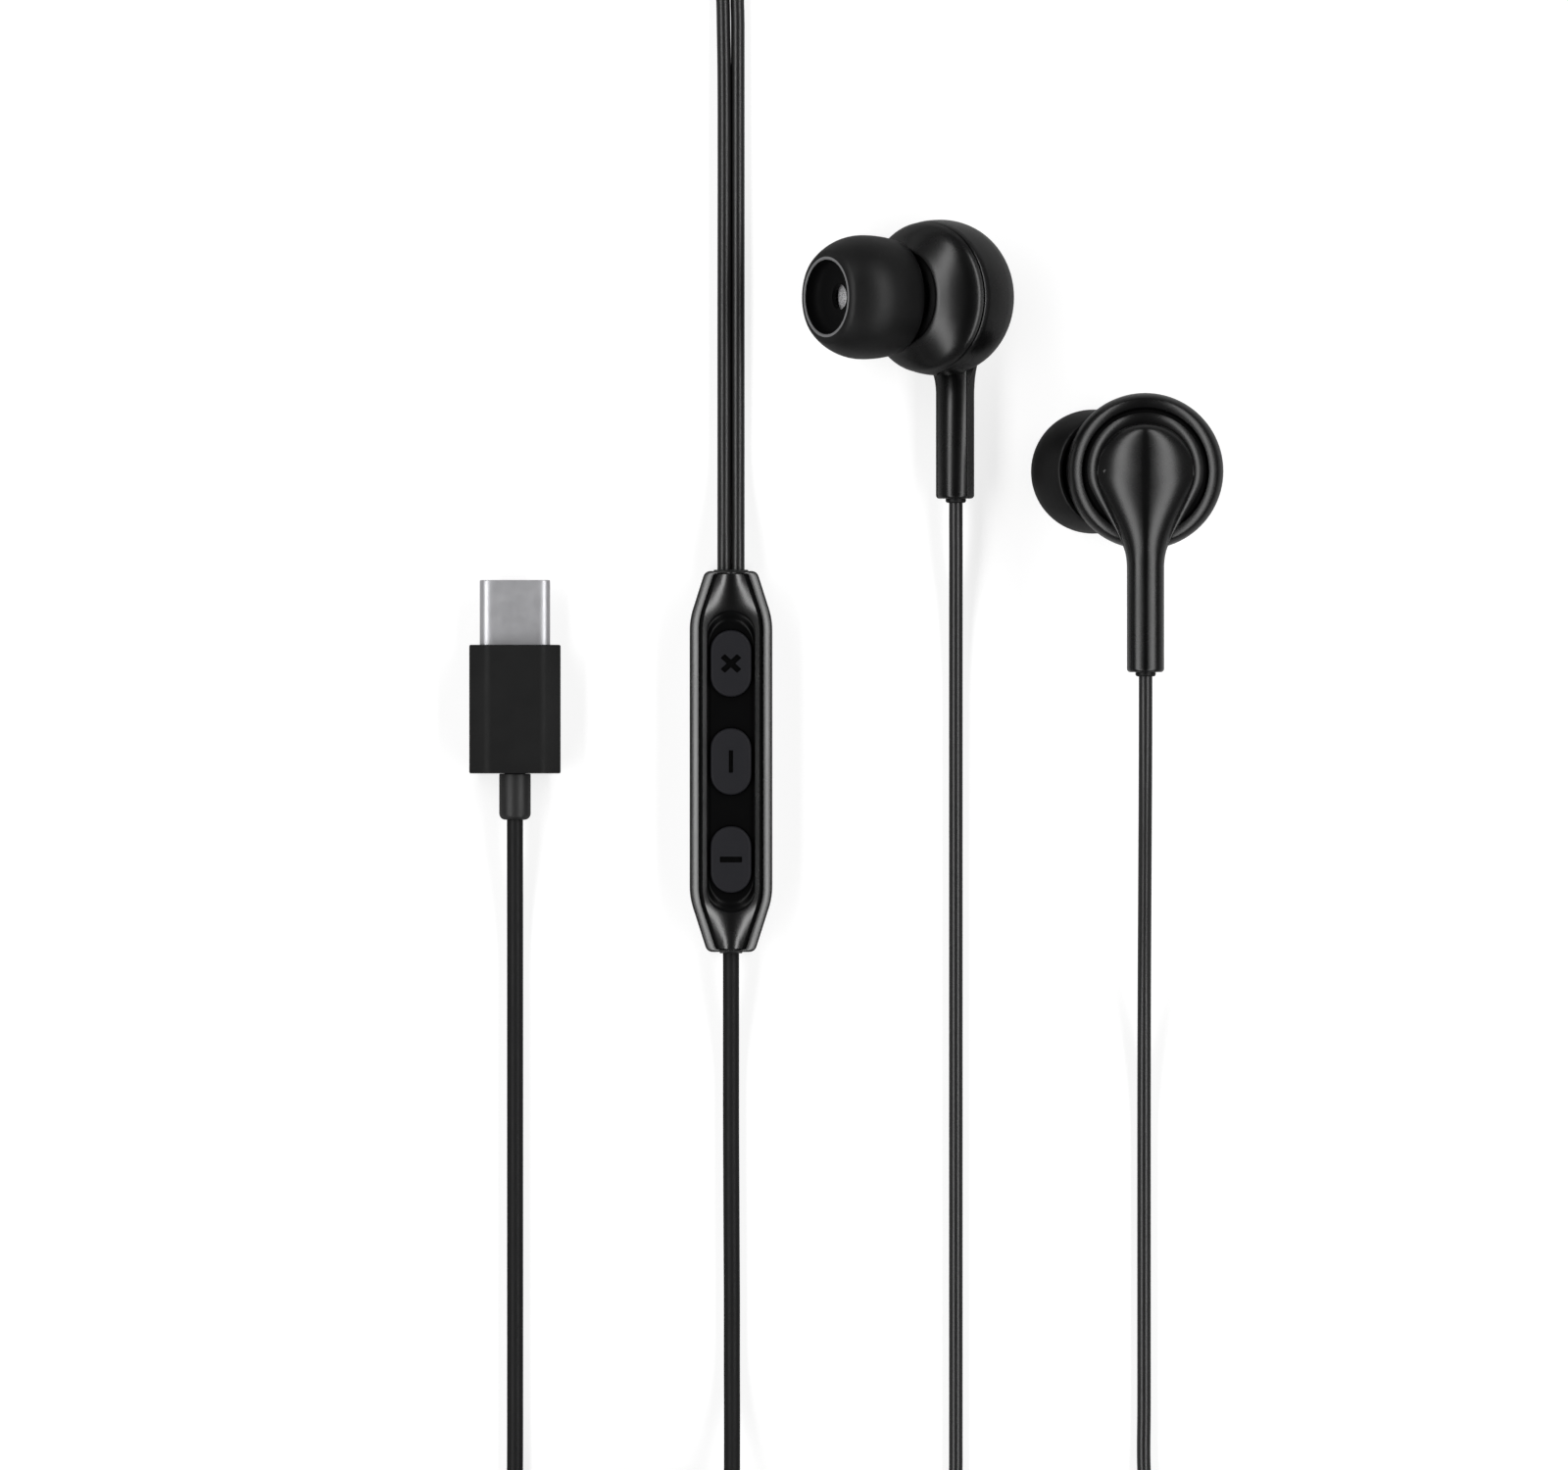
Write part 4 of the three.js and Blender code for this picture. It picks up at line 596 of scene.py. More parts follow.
def strip(body, rings):
    """Faces through rings of points, open at both ends; gives back its first and last loop."""
    loops = [[body.verts.new(point) for point in ring] for ring in rings]
    for near, far in zip(loops, loops[1:]):
        for i in range(len(near)):
            body.faces.new((near[i - 1], near[i], far[i], far[i - 1]))
    return loops[0], loops[-1]


def web(body, *loops):
    """Fills the flat space inside the first loop and outside the others."""
    edges = []
    for loop in loops:
        for i in range(len(loop)):
            edge = body.edges.get((loop[i - 1], loop[i]))
            edges.append(edge or body.edges.new((loop[i - 1], loop[i])))
    return bmesh.ops.triangle_fill(body, edges=edges, use_beauty=True)["geom"]


def closed_mesh(name, body, place, sharp=35.0):
    """A mesh in metres from a closed body in millimetres."""
    body.transform(Matrix.Scale(MILLIMETRE, 4) @ place)
    return settled(bpy.data.meshes.new(name), body, sharp)


polished = new_finish("polished_black_plastic", DEEP_BLACK, (0.24, 0.28), 0.004, ior=1.8)
recess_black = new_finish("dull_recess_plastic", DEEP_BLACK, (0.3, 0.34), 0.003, specular=0.14)
at_remote = Matrix.Translation(REMOTE_MIDDLE)
lip = PARTING + PARTING_GAP
rings = [
    level_ring(SHELL_INSET, ROOF_UNDER, 1.0),
    level_ring(SHELL_INSET, lip, 1.0),
    level_ring(0.08, lip),
    level_ring(0.0, lip + 0.1),
]
rings += [
    face_ring(inset, side_height, end_drop)
    for inset, side_height, end_drop in (
        (0.0, 4.9, 0.75), (0.03, 5.1, 0.5), (0.1, 5.22, 0.36), (0.2, 5.275, 0.26),
        (0.35, 5.353, 0.21), (0.5, 5.423, 0.17), (0.65, 5.483, 0.14), (0.8, 5.535, 0.11),
        (0.93, 5.574, 0.09), (1.05, 5.603, 0.07), (1.1, 5.56, 0.06), (1.15, 5.38, 0.05),
        (1.46, 5.38, 0.03), (1.49, 5.74, 0.02), (1.55, None, 0.01), (1.6, None, 0.0),
    )
]
edge_of_face, rim = rings[-1], recess_ring(RECESS_SIDE + 0.12, RIM_END, None)
for share in (0.2, 0.4, 0.6, 0.8):
    places = [a.lerp(b, share) for a, b in zip(edge_of_face, rim)]
    rings.append([Vector((p.x, p.y, crown_at(p.x, p.y))) for p in places])
rings.append(rim)
floor_ring = recess_ring(RECESS_SIDE - 0.1, 16.3, RECESS_FLOOR)
for i in range(1, 8):
    ring = []
    for a, b in zip(rim, floor_ring):
        ring.append(Vector((*a.xy.lerp(b.xy, i / 8), a.z + (b.z - a.z) * gently(i / 8))))
    rings.append(ring)
rings.append(floor_ring)
rings.append(recess_ring(RECESS_SIDE - 0.14, 16.26, RECESS_FLOOR))
body = bmesh.new()
under, recess_edge = strip(body, rings)
hole_tops, hole_bottoms = [], []
for step in (-1, 0, 1):
    side, end = BUTTON_SIDE + BUTTON_PLAY, BUTTON_END + BUTTON_PLAY
    heights = (RECESS_FLOOR, ROOF_UNDER)
    top, bottom = strip(body, [stadium(side, end, z, step * BUTTON_PITCH) for z in heights])
    hole_tops.append(top)
    hole_bottoms.append(bottom)
web(body, recess_edge, *hole_tops)
web(body, under, *hole_bottoms)
mesh = closed_mesh("remote_front", body, at_remote)
fitted("remote_front", mesh, polished, "earphones", "gloss_black", "remote_front_shell")
mesh.materials.append(recess_black)
for face in mesh.polygons:
    spot = at_remote.inverted() @ (face.center / MILLIMETRE)
    beyond = max(abs(spot.y) + RECESS_SIDE + 0.12 - RIM_END, 0.0)
    if spot.z > ROOF_UNDER and math.hypot(spot.x, beyond) < RECESS_SIDE + 0.12:
        face.material_index = 1

# The remote's back shell: the same plastic with a flat back, a rounded lower edge and a small
# sound hole for the microphone. A fine parting line runs round between the two shells.
SOUND_HOLE_Y, SOUND_HOLE_RADIUS = -14.4, 0.45
EDGE_IN, EDGE_UP = 0.9, 0.95
lip = PARTING - PARTING_GAP
rings = [
    level_ring(SHELL_INSET, 1.0, 1.0),
    level_ring(SHELL_INSET, lip, 1.0),
    level_ring(0.08, lip),
    level_ring(0.0, lip - 0.1),
    level_ring(0.0, EDGE_UP),
]
rings += [level_ring(EDGE_IN * near, EDGE_UP * far, 1.0) for near, far in rounding(1.0, 6)[1:]]
body = bmesh.new()
inner_floor, back_edge = strip(body, rings)
hole = []
hole_sizes = ((0.1, 0.0), (0.0, 0.1), (0.0, 1.0))
for ring in turned([(SOUND_HOLE_RADIUS + wider, height) for wider, height in hole_sizes], 24):
    hole.append([Vector((x, SOUND_HOLE_Y + y, z)) for x, z, y in ring])
outside, inside = strip(body, hole)
web(body, back_edge, outside)
web(body, inner_floor, inside)
mesh = closed_mesh("remote_back", body, at_remote)
fitted("remote_back", mesh, polished, "earphones", "gloss_black", "remote_back_shell")

# The three buttons: matte dark silicone rubber with a soft edge, each with its sign sunk into the
# top and inked black: a cross for louder, an upright bar for calls and a flat bar for quieter.
BUTTON_TOP, BUTTON_FOOT, FLANGE_TOP = 6.35, 4.3, 4.8
BUTTON_EASE, SIGN_DEPTH = 0.3, 0.2
button_rubber = new_finish(
    "button_rubber", (0.0090, 0.0090, 0.0118), (0.54, 0.66), 0.0015, specular=0.25
)
relief(button_rubber, clouding(button_rubber, 0.0001, detail=2.0), 8e-6, strength=0.5)
sign_ink = new_finish("sign_ink", (0.0010, 0.0010, 0.0010), (0.7, 0.85), 0.0004, specular=0.05)


def cross_sign(reach, half_bar, width_share, height_share):
    """The outline of a cross on its corner."""
    corners = []
    for turn in range(4):
        along = Matrix.Rotation(turn * math.pi / 2 + math.pi / 4, 2)
        for x, y in ((reach, -half_bar), (reach, half_bar), (half_bar, half_bar)):
            corner = along @ Vector((x, y))
            corners.append((corner.x * width_share, corner.y * height_share))
    return eased(corners, [0.1, 0.1, 0.04] * 4, [2] * 12, steps=3)


def bar_sign(half_width, half_height):
    """The outline of one bar."""
    corners = [(half_width, half_height), (-half_width, half_height)]
    corners += [(-x, -y) for x, y in corners]
    return eased(corners, [0.1] * 4, [3] * 4, steps=3)


for use, step, sign in (
    ("volume_up", 1, cross_sign(1.27, 0.33, 1.08, 0.98)),
    ("call", 0, bar_sign(0.25, 1.32)),
    ("volume_down", -1, bar_sign(1.3, 0.34)),
):
    rings = [
        stadium(BUTTON_SIDE + 0.45, BUTTON_END + 0.45, BUTTON_FOOT),
        stadium(BUTTON_SIDE + 0.5, BUTTON_END + 0.5, BUTTON_FOOT + 0.05),
        stadium(BUTTON_SIDE + 0.5, BUTTON_END + 0.5, FLANGE_TOP),
        stadium(BUTTON_SIDE, BUTTON_END, FLANGE_TOP),
    ]
    for inset, short in rounding(BUTTON_EASE, 6):
        rings.append(stadium(BUTTON_SIDE - inset, BUTTON_END - inset, BUTTON_TOP - short))
    body = bmesh.new()
    foot, top = strip(body, rings)
    body.faces.new(foot)
    plain = set(body.faces)
    sunk = [[Vector((*p, BUTTON_TOP - depth)) for p in sign] for depth in (0.0, SIGN_DEPTH)]
    mouth, bottom = strip(body, sunk)
    body.faces.new(bottom)
    for face in set(body.faces) - plain:
        face.material_index = 1
    web(body, top, mouth)
    at_button = at_remote @ Matrix.Translation((0.0, step * BUTTON_PITCH, 0.0))
    mesh = closed_mesh(f"{use}_button_cap", body, at_button)
    fitted(f"{use}_button_cap", mesh, button_rubber, use, "button_rubber", f"{use}_button")
    mesh.materials.append(sign_ink)

# Inside the remote: the board, three tact switches with their plungers, the microphone's can and
# the two clamps that hold the cords. Their shapes come from the solids.
plunger_nylon = new_finish("plunger_nylon", (0.02, 0.02, 0.021), (0.4, 0.52), 0.0006)
clamp_plastic = new_finish("clamp_plastic", (0.009, 0.009, 0.0095), (0.36, 0.48), 0.001)
refinish({"remote_board": board_green, "microphone": nickel})
for use in ("volume_up", "call", "volume_down"):
    refinish({f"{use}_plunger": plunger_nylon, f"{use}_switch": nickel})
for name, node, width, height, end in (
    ("ear_lead_collar", "lead_clamp", 4.1, 2.2, 1),
    ("main_cord_collar", "main_cord_clamp", 2.7, 2.6, -1),
):
    rings = []
    for inset, along in ((0.0, -3.0), (0.0, 0.05), (0.04, 0.12), (0.14, 0.16)):
        ring = rounded(width - 2 * inset, height - 2 * inset, 0.6, 6, end * (REMOTE_END + along))
        rings.append([(x, y, z + PARTING) for x, y, z in ring])
    mesh = surface(name, *skin(rings), at_remote)
    fitted(name, mesh, clamp_plastic, "earphones", "satin_black", node)

# The earbuds' two leads: thinner round cords with a shinier skin, side by side out of the
# remote's upper end, then each round its own wide bend out of the picture and back to its stem.
LEAD_REST = 0.84
RIGHT_SIDE, LEFT_SIDE, SET_OVER = -25.61, -27.2, 0.22
lead_skin = new_finish(
    "satin_lead_skin", (0.0044, 0.0044, 0.0045), (0.34, 0.38), 0.006, specular=0.7
)


def bend(middle_x, middle_y, radius, start, end):
    """Places along a flat round bend of a lead, between two headings about its centre."""
    places = []
    for i in range(5):
        angle = math.radians(start + (end - start) * i / 4)
        places.append((middle_x + radius * math.cos(angle), middle_y + radius * math.sin(angle)))
    return places


# Where a place has no height, the lead rests on the table.
RIGHT_LEAD_ROUTE = [
    (RIGHT_SIDE, 0.9, 3.3), (RIGHT_SIDE, 4.5, 3.2), (RIGHT_SIDE, 9.0, 2.0),
    (RIGHT_SIDE, 14.0, 0.95), (RIGHT_SIDE, 20.0), (RIGHT_SIDE, 30.0), (RIGHT_SIDE, 66.0),
    *bend(RIGHT_SIDE + 13.0, 70.0, 13.0, 180.0, 90.0), (-8.0, 83.0), (60.0, 83.0),
    *bend(64.0, 70.0, 13.0, 90.0, 0.0), (77.0, 66.0), (77.0, -99.0),
    *bend(64.0, -103.0, 13.0, 0.0, -90.0), (60.0, -116.0), (17.0, -116.0),
    *bend(9.5, -106.5, 9.5, -90.0, -180.0), (0.0, -103.0), (0.0, -60.0), (0.0, -20.0),
    (0.0, -10.0, 0.9), (0.0, -3.0, 1.5), (0.0, 4.0, 2.75), (-0.01, 7.0, 3.05),
    (-0.01, 10.2, 3.07),
]
LEFT_LEAD_ROUTE = [
    (LEFT_SIDE, 0.9, 3.3), (LEFT_SIDE, 4.5, 3.2 + SET_OVER), (LEFT_SIDE, 9.0, 2.0 + SET_OVER),
    (LEFT_SIDE, 14.0, 0.95 + SET_OVER), (LEFT_SIDE, 20.0, LEAD_REST + SET_OVER),
    (LEFT_SIDE, 30.0, LEAD_REST + SET_OVER), (LEFT_SIDE, 60.0, LEAD_REST + SET_OVER),
    (LEFT_SIDE - 0.1, 67.0), *bend(LEFT_SIDE + 16.9, 72.0, 17.0, 180.0, 90.0), (-6.0, 89.0),
    (60.0, 89.0), *bend(64.0, 71.0, 18.0, 90.0, 0.0), (82.0, 66.0), (82.0, -99.0),
    *bend(64.0, -103.0, 18.0, 0.0, -90.0), (58.0, -121.0, 0.9), (50.0, -121.0, 1.3),
    (42.0, -121.0, 2.3), (35.0, -120.3, 3.1), (28.8, -117.1, 3.5), (24.6, -112.6, 3.1),
    (22.5, -108.0, 2.1), (22.1, -103.9, 1.1), (22.1, -96.0), (22.1, -84.0), (22.1, -70.0),
    (22.1, -60.0, 1.1), (22.1, -48.0, 3.6), (22.1, -34.0, 10.4), (22.1, -22.0, 16.4),
    (22.1, -14.5, 18.35), (22.1, -10.2, 18.43),
]
for name, node, route, length in (
    ("right_ear_lead", "right_lead", RIGHT_LEAD_ROUTE, 0.566),
    ("left_ear_lead", "left_lead", LEFT_LEAD_ROUTE, 0.552),
):
    route = [(*place, LEAD_REST)[:3] for place in route]
    piece = lead(name, smooth_line(route, 1.0), 0.8, lead_skin, node)

# The earbuds' rear rings: glossy black moulded rims, widest at the front, rounded over to the
# back, with a step inside that the back plate drops into. Both earbuds are laid out alike,
# mirrored: x toward the side the nozzle leans to, y away from the stem and z into the ear.
HOUSING_RADIUS, HOUSING_WALL = 9.15, 1.0
REAR_RADIUS, REAR_DEPTH, SHOULDER_DEPTH, RIM_EDGE = 7.42, 3.2, 0.4, 0.05
STEP_TOP, STEP_FOOT, STEP_WIDTH = 1.1, 1.7, 0.55
SLOPE_SHARE, SLOPE_START, SLOPE_GROWTH = 0.45, 0.21, 0.16
SEAM, SEAM_RADIUS, SEAM_GAP = (0.4, 2.4, 10.0), 8.85, 0.14
STEM_AXIS, STEM_RADIUS, STEM_END = -4.2, 2.15, 23.55
ROUND_SIDES = 96
at_right = (
    Matrix.Translation((-2.05, 33.8, 6.7432))
    @ Matrix.Rotation(math.radians(-29.0), 4, "Y")
    @ Matrix.Scale(-1.0, 4, (1.0, 0.0, 0.0))
)
at_left = Matrix.Translation((22.1, 13.4, 14.2295)) @ Matrix.Rotation(math.pi, 4, "Y")
EARBUDS = (("right", at_right), ("left", at_left))
gloss = new_finish("gloss_black_plastic", DEEP_BLACK, (0.25, 0.29), 0.004, ior=1.51)


def leaning_circle(x, z, lean, radius):
    """A circle of points whose axis leans from z toward x."""
    lean = math.radians(lean)
    ring = []
    for i in range(ROUND_SIDES):
        angle = 2 * math.pi * i / ROUND_SIDES
        across = radius * math.cos(angle)
        place = x + across * math.cos(lean), radius * math.sin(angle), z - across * math.sin(lean)
        ring.append(place)
    return ring


def level_circles(*rows):
    """Circles round the housing's middle line, each from its height and radius."""
    return [leaning_circle(0.0, height, 0.0, radius) for height, radius in rows]


def circle_on(axis, radius, along):
    """A circle round a leaning axis, given by its foot and lean, at a place along it."""
    x, z, degrees = axis
    lean = math.radians(degrees)
    return leaning_circle(x + along * math.sin(lean), z + along * math.cos(lean), degrees, radius)


def rim_back(share):
    """The height and radius of the rim's back, at a share of the way out across it."""
    reach = HOUSING_RADIUS - REAR_RADIUS - RIM_EDGE
    easy = min(share / SLOPE_SHARE, 1.0)
    fall = SLOPE_SHARE * reach * (SLOPE_START * easy + SLOPE_GROWTH * easy**2)
    if share > SLOPE_SHARE:
        beyond = (share - SLOPE_SHARE) / (1 - SLOPE_SHARE)
        straight = (SLOPE_START + 2 * SLOPE_GROWTH) * (1 - SLOPE_SHARE) * reach
        rest = REAR_DEPTH - SHOULDER_DEPTH - fall - straight
        fall += straight * beyond + rest * (1 - math.sqrt(max(1 - beyond**3, 0.0)))
    return fall - REAR_DEPTH, REAR_RADIUS + RIM_EDGE + reach * share


def on_both(kind, shape, finish, slot, node, place=Matrix.Identity(4), sharp=40.0):
    """The same piece on both earbuds, in place of a solid of each."""
    for side, at_bud in EARBUDS:
        name = f"{side}_{kind}"
        mesh = surface(name, *shape, at_bud @ place, sharp)
        fitted(name, mesh, finish, "earphones", slot, f"{side}_{node}")


rings = [circle_on(SEAM, SEAM_RADIUS - 0.09, -SEAM_GAP)]
rings.append(circle_on(SEAM, SEAM_RADIUS, -SEAM_GAP - 0.09))
for share in (0.25, 0.5, 0.75):
    left_over, grown = 1 - share, (HOUSING_RADIUS - SEAM_RADIUS) * share
    bulge = 0.06 * math.sin(share * math.pi)
    x, z, lean = SEAM
    x, z, lean = x * left_over, (z - 0.16) * left_over, lean * left_over
    rings.append(leaning_circle(x, z, lean, SEAM_RADIUS + grown + bulge))
rings += level_circles(
    *(rim_back(math.cos(i / 24 * math.pi / 2)) for i in range(25)),
    (0.02 - REAR_DEPTH, REAR_RADIUS + 0.02),
    (0.12 - REAR_DEPTH, REAR_RADIUS),
    (STEP_TOP - REAR_DEPTH, REAR_RADIUS),
    (STEP_TOP - REAR_DEPTH, REAR_RADIUS - STEP_WIDTH),
    (STEP_FOOT - REAR_DEPTH, REAR_RADIUS - STEP_WIDTH),
    (STEP_FOOT - REAR_DEPTH, HOUSING_RADIUS - HOUSING_WALL),
)
rings.append(circle_on(SEAM, SEAM_RADIUS - HOUSING_WALL, -SEAM_GAP))
on_both("rear_rim", skin(rings, joined=True), gloss, "gloss_black", "rear_ring")

# The back plates: glossy black discs sunk into the rear rims, under the drop-shaped covers. All
# that shows of them is the floor of the channel between cover and rim.
PLATE_RADIUS, WIRE_HOLE_RADIUS = 7.2, 1.6
PLATE_INSIDE, PLATE_EDGE, PLATE_BACK = -2.4, -2.7, -2.76
rings = level_circles(
    (PLATE_INSIDE, WIRE_HOLE_RADIUS),
    (PLATE_INSIDE, PLATE_RADIUS),
    (PLATE_EDGE, PLATE_RADIUS),
    (PLATE_BACK, PLATE_RADIUS - 0.06),
    (PLATE_BACK, 5.4),
    (PLATE_BACK, WIRE_HOLE_RADIUS),
)
on_both("back_disc", skin(rings, joined=True), gloss, "gloss_black", "rear_plate")

# The back covers: one glossy black moulding each, a domed round head that runs out as a long
# drop into the rear half of the stem. A bevelled band goes round the head and fades out along
# the neck, and the underside has the channel that the cord's wires lie in.
HEAD_RADIUS, COVER_FACE, COVER_CROWN = 5.6, -3.33, 3.02
BAND_WIDTH, BAND_FOOT, BAND_TOP, BAND_LAST = 1.2, 0.2, 0.66, 0.03
NECK_START, NECK_END = -0.34 * HEAD_RADIUS, -2.02 * HEAD_RADIUS
FADE_START, FADE_LENGTH = 1.0, 9.5
RIDGE_POWER, EDGE_POWER = 1.36, 8
STEM_CHAMFER, CHANNEL_RADIUS = 0.4, 1.2


def drop_half_width(y):
    """Half the width of the cover at one place: a round head, then a smooth taper to the stem."""
    if y >= NECK_START:
        return math.sqrt(max(HEAD_RADIUS**2 - y**2, 0.0))
    if y <= NECK_END:
        return STEM_RADIUS
    width = math.sqrt(HEAD_RADIUS**2 - NECK_START**2)
    slope = NECK_START / width * (NECK_START - NECK_END)
    t = (NECK_START - y) / (NECK_START - NECK_END)
    head = (2 * t**3 - 3 * t**2 + 1) * width + (t**3 - 2 * t**2 + t) * slope
    return head + (3 * t**2 - 2 * t**3) * STEM_RADIUS


def head_rise(x, reach, edge):
    """How high the head stands at a place on it, as a share: a broad ridge with a round edge."""
    ridge = (1 - min(abs(x) / edge, 1.0) ** RIDGE_POWER) ** (1 / RIDGE_POWER)
    return ridge * (1 - min(reach / edge, 1.0) ** EDGE_POWER) ** 0.45


def stem_rise(share):
    """The same across the stem, from its middle line out: gently sloped, then a round side."""
    slope = share - 0.06 if share > 0.12 else share**2 / 0.24
    fall = 0.712 * (0.285 * share**2 + 0.147 * slope)
    return 1 - fall - 0.699 * (1 - math.sqrt(max(1 - share**EDGE_POWER, 0.0)))


def cover_section(y, inner, band, crown, stem):
    """A section across the cover: bevelled band, domed back, band again, and a flat face."""
    outer = inner + band
    size = max(band / BAND_WIDTH, 0.01)
    if y > 0:
        outer = math.sqrt(max((HEAD_RADIUS + BAND_WIDTH) ** 2 - y**2, 0.0)) + 0.02
        inner = math.sqrt(max(HEAD_RADIUS**2 - y**2, 0.0)) + 0.01
        size = 1.0
    across = [inner + (outer - inner) * (1 - i / 12) for i in range(12)]
    across += [inner * math.cos(math.pi * i / 56) for i in range(28)]
    back = []
    for x in across:
        reach, edge, beyond = x, inner, (x - inner) / band
        if y > 0:
            reach, edge = math.hypot(x, y), HEAD_RADIUS
            beyond = (reach - edge) / BAND_WIDTH
        if beyond > 0:
            out = max(beyond - 0.1, 0.0) / 0.9
            height = BAND_TOP - (BAND_TOP - BAND_FOOT) * (0.33 * out + 0.67 * out**2)
        else:
            rise = (1 - stem) * head_rise(x, reach, edge) + stem * stem_rise(x / edge)
            height = BAND_TOP + (crown / size - BAND_TOP) * rise
        back.append((x, y, COVER_FACE - height * size))
    section = [(outer, y, COVER_FACE), *back, (0.0, y, back[-1][2])]
    section += [(-x, y, z) for x, y, z in reversed(back)]
    section.append((-outer, y, COVER_FACE))
    channel = min(CHANNEL_RADIUS, outer * 0.6)
    depth = min(channel, BAND_FOOT if y > HEAD_RADIUS - 0.6 else crown * 0.4)
    for i in range(9):
        angle = math.pi * i / 8
        section.append((-channel * math.cos(angle), y, COVER_FACE - depth * math.sin(angle)))
    return section


rings = []
for i in range(45):
    y = (HEAD_RADIUS + BAND_WIDTH) * math.cos(math.radians(3.0 + 87.0 * i / 44))
    rings.append(cover_section(y, HEAD_RADIUS, BAND_WIDTH, COVER_CROWN, 0.0))
for i in range(31):
    y = NECK_END * i / 30
    band = max(BAND_WIDTH * (1 - gently((-y - FADE_START) / FADE_LENGTH)), BAND_LAST)
    stem = min(-y / (FADE_START + FADE_LENGTH), 1.0)
    rings.append(cover_section(y, drop_half_width(y), band, COVER_CROWN, stem))
for inset, short in rounding(STEM_CHAMFER, 4):
    y, radius = short - STEM_END, STEM_RADIUS - inset
    rings.append(cover_section(y, radius, BAND_LAST, COVER_CROWN - inset, 1.0))
on_both("drop_cover", skin(rings), gloss, "gloss_black", "back_cover", sharp=42.0)

# The stems' front halves: half-round glossy black strips that close the channel, with a fine
# line between them and the covers.
FRONT_FACE, RIM_REST = -3.27, 0.12


def front_section(y, radius):
    """A section across the strip: its round front, then its half of the channel."""
    section = []
    start = math.asin((FRONT_FACE - STEM_AXIS) / STEM_RADIUS)
    for i in range(21):
        angle = start + (math.pi - 2 * start) * i / 20
        section.append((radius * math.cos(angle), y, STEM_AXIS + radius * math.sin(angle)))
    for i in range(9):
        angle = math.pi * i / 8
        rise = 0.5 * math.sin(angle)
        section.append((-CHANNEL_RADIUS * math.cos(angle), y, FRONT_FACE + 0.02 + rise))
    return section


def under_rim(point, gap):
    """The same point moved along the stem to just under the rear rim's rounded shoulder."""
    share = min(max((-point[2] - SHOULDER_DEPTH) / (REAR_DEPTH - SHOULDER_DEPTH), 0.0), 1.0)
    shoulder = HOUSING_RADIUS - REAR_RADIUS - RIM_REST
    reach = REAR_RADIUS + RIM_REST + shoulder * math.sqrt(1 - share**2)
    return (point[0], -math.sqrt(max(reach**2 - point[0] ** 2, 0.0)) - gap, point[2])


rings = []
for inset, gap in ((0.05, 0.03), (0.0, 0.09)):
    rings.append([under_rim(point, gap) for point in front_section(0.0, STEM_RADIUS - inset)])
for inset, short in rounding(STEM_CHAMFER, 4):
    rings.append(front_section(short - STEM_END, STEM_RADIUS - inset))
on_both("stem_strip", skin(rings), gloss, "gloss_black", "stem_front", sharp=42.0)

# The bushes: soft black rings pressed into the stems' lower ends, where the cords come out.
BUSH_RADIUS, BUSH_BORE, BUSH_TOP, BUSH_REACH, BUSH_EASE = 1.2, 0.83, -23.57, 0.48, 0.28
soft_black = new_finish(
    "soft_black_silicone", (0.0026, 0.0026, 0.0028), (0.42, 0.5), 0.003, specular=0.32
)
relief(soft_black, clouding(soft_black, 0.0002, detail=2.0), 5e-6, strength=0.5)
tail = BUSH_TOP - BUSH_REACH
profile = [(BUSH_BORE, BUSH_TOP + 1.8), (1.1, BUSH_TOP + 1.8), (1.1, BUSH_TOP)]
profile += [(BUSH_RADIUS, BUSH_TOP), (BUSH_RADIUS, BUSH_TOP - 0.15)]
profile += [(BUSH_RADIUS - inset, tail + short) for inset, short in rounding(BUSH_EASE, 5)]
profile += [(0.95, tail), (BUSH_BORE, tail + 0.08)]
in_stem = Matrix.Translation((0.0, 0.0, STEM_AXIS))
shape = skin(turned(profile), joined=True)
on_both("stem_bush", shape, soft_black, "ear_silicone", "cord_bush", in_stem, sharp=35.0)

# The front shells: low glossy black domes, each with a sunk collar round the angled nozzle, a lip
# near the nozzle's end that holds the ear tip, and a seat for the mesh.
NOZZLE = (4.12, 3.72, 26.5)
NOZZLE_RADIUS, NOZZLE_LIP, NOZZLE_LENGTH = 2.5, 2.9, 7.0
NOZZLE_BORE, MESH_RADIUS = 1.75, 1.9
DOME = (
    (0.43, 2.6, 10.0, 8.84), (0.52, 3.15, 10.6, 8.5), (0.72, 3.75, 12.0, 7.75),
    (1.2, 4.3, 14.0, 6.7), (2.1, 4.72, 17.0, 5.65),
)
COLLAR = (
    (2.16, 4.72, 17.2, 5.5), (2.2, 4.62, 17.5, 5.42), (2.25, 4.2, 18.0, 5.36),
    (3.1, 4.05, 22.0, 4.3),
)


def between(circles, steps):
    """More circles on the smooth curve through the middles, leans and radii of a few."""
    circles = [Vector(circle) for circle in circles]
    ends = [2 * circles[0] - circles[1], *circles, 2 * circles[-1] - circles[-2]]
    found = []
    for a, b, c, d in zip(ends, ends[1:], ends[2:], ends[3:]):
        for i in range(steps):
            t = i / steps
            turn = (2 * a - 5 * b + 4 * c - d) * t**2 + (3 * b - a - 3 * c + d) * t**3
            found.append(0.5 * (2 * b + (c - a) * t + turn))
    return [leaning_circle(*circle) for circle in (*found, circles[-1])]


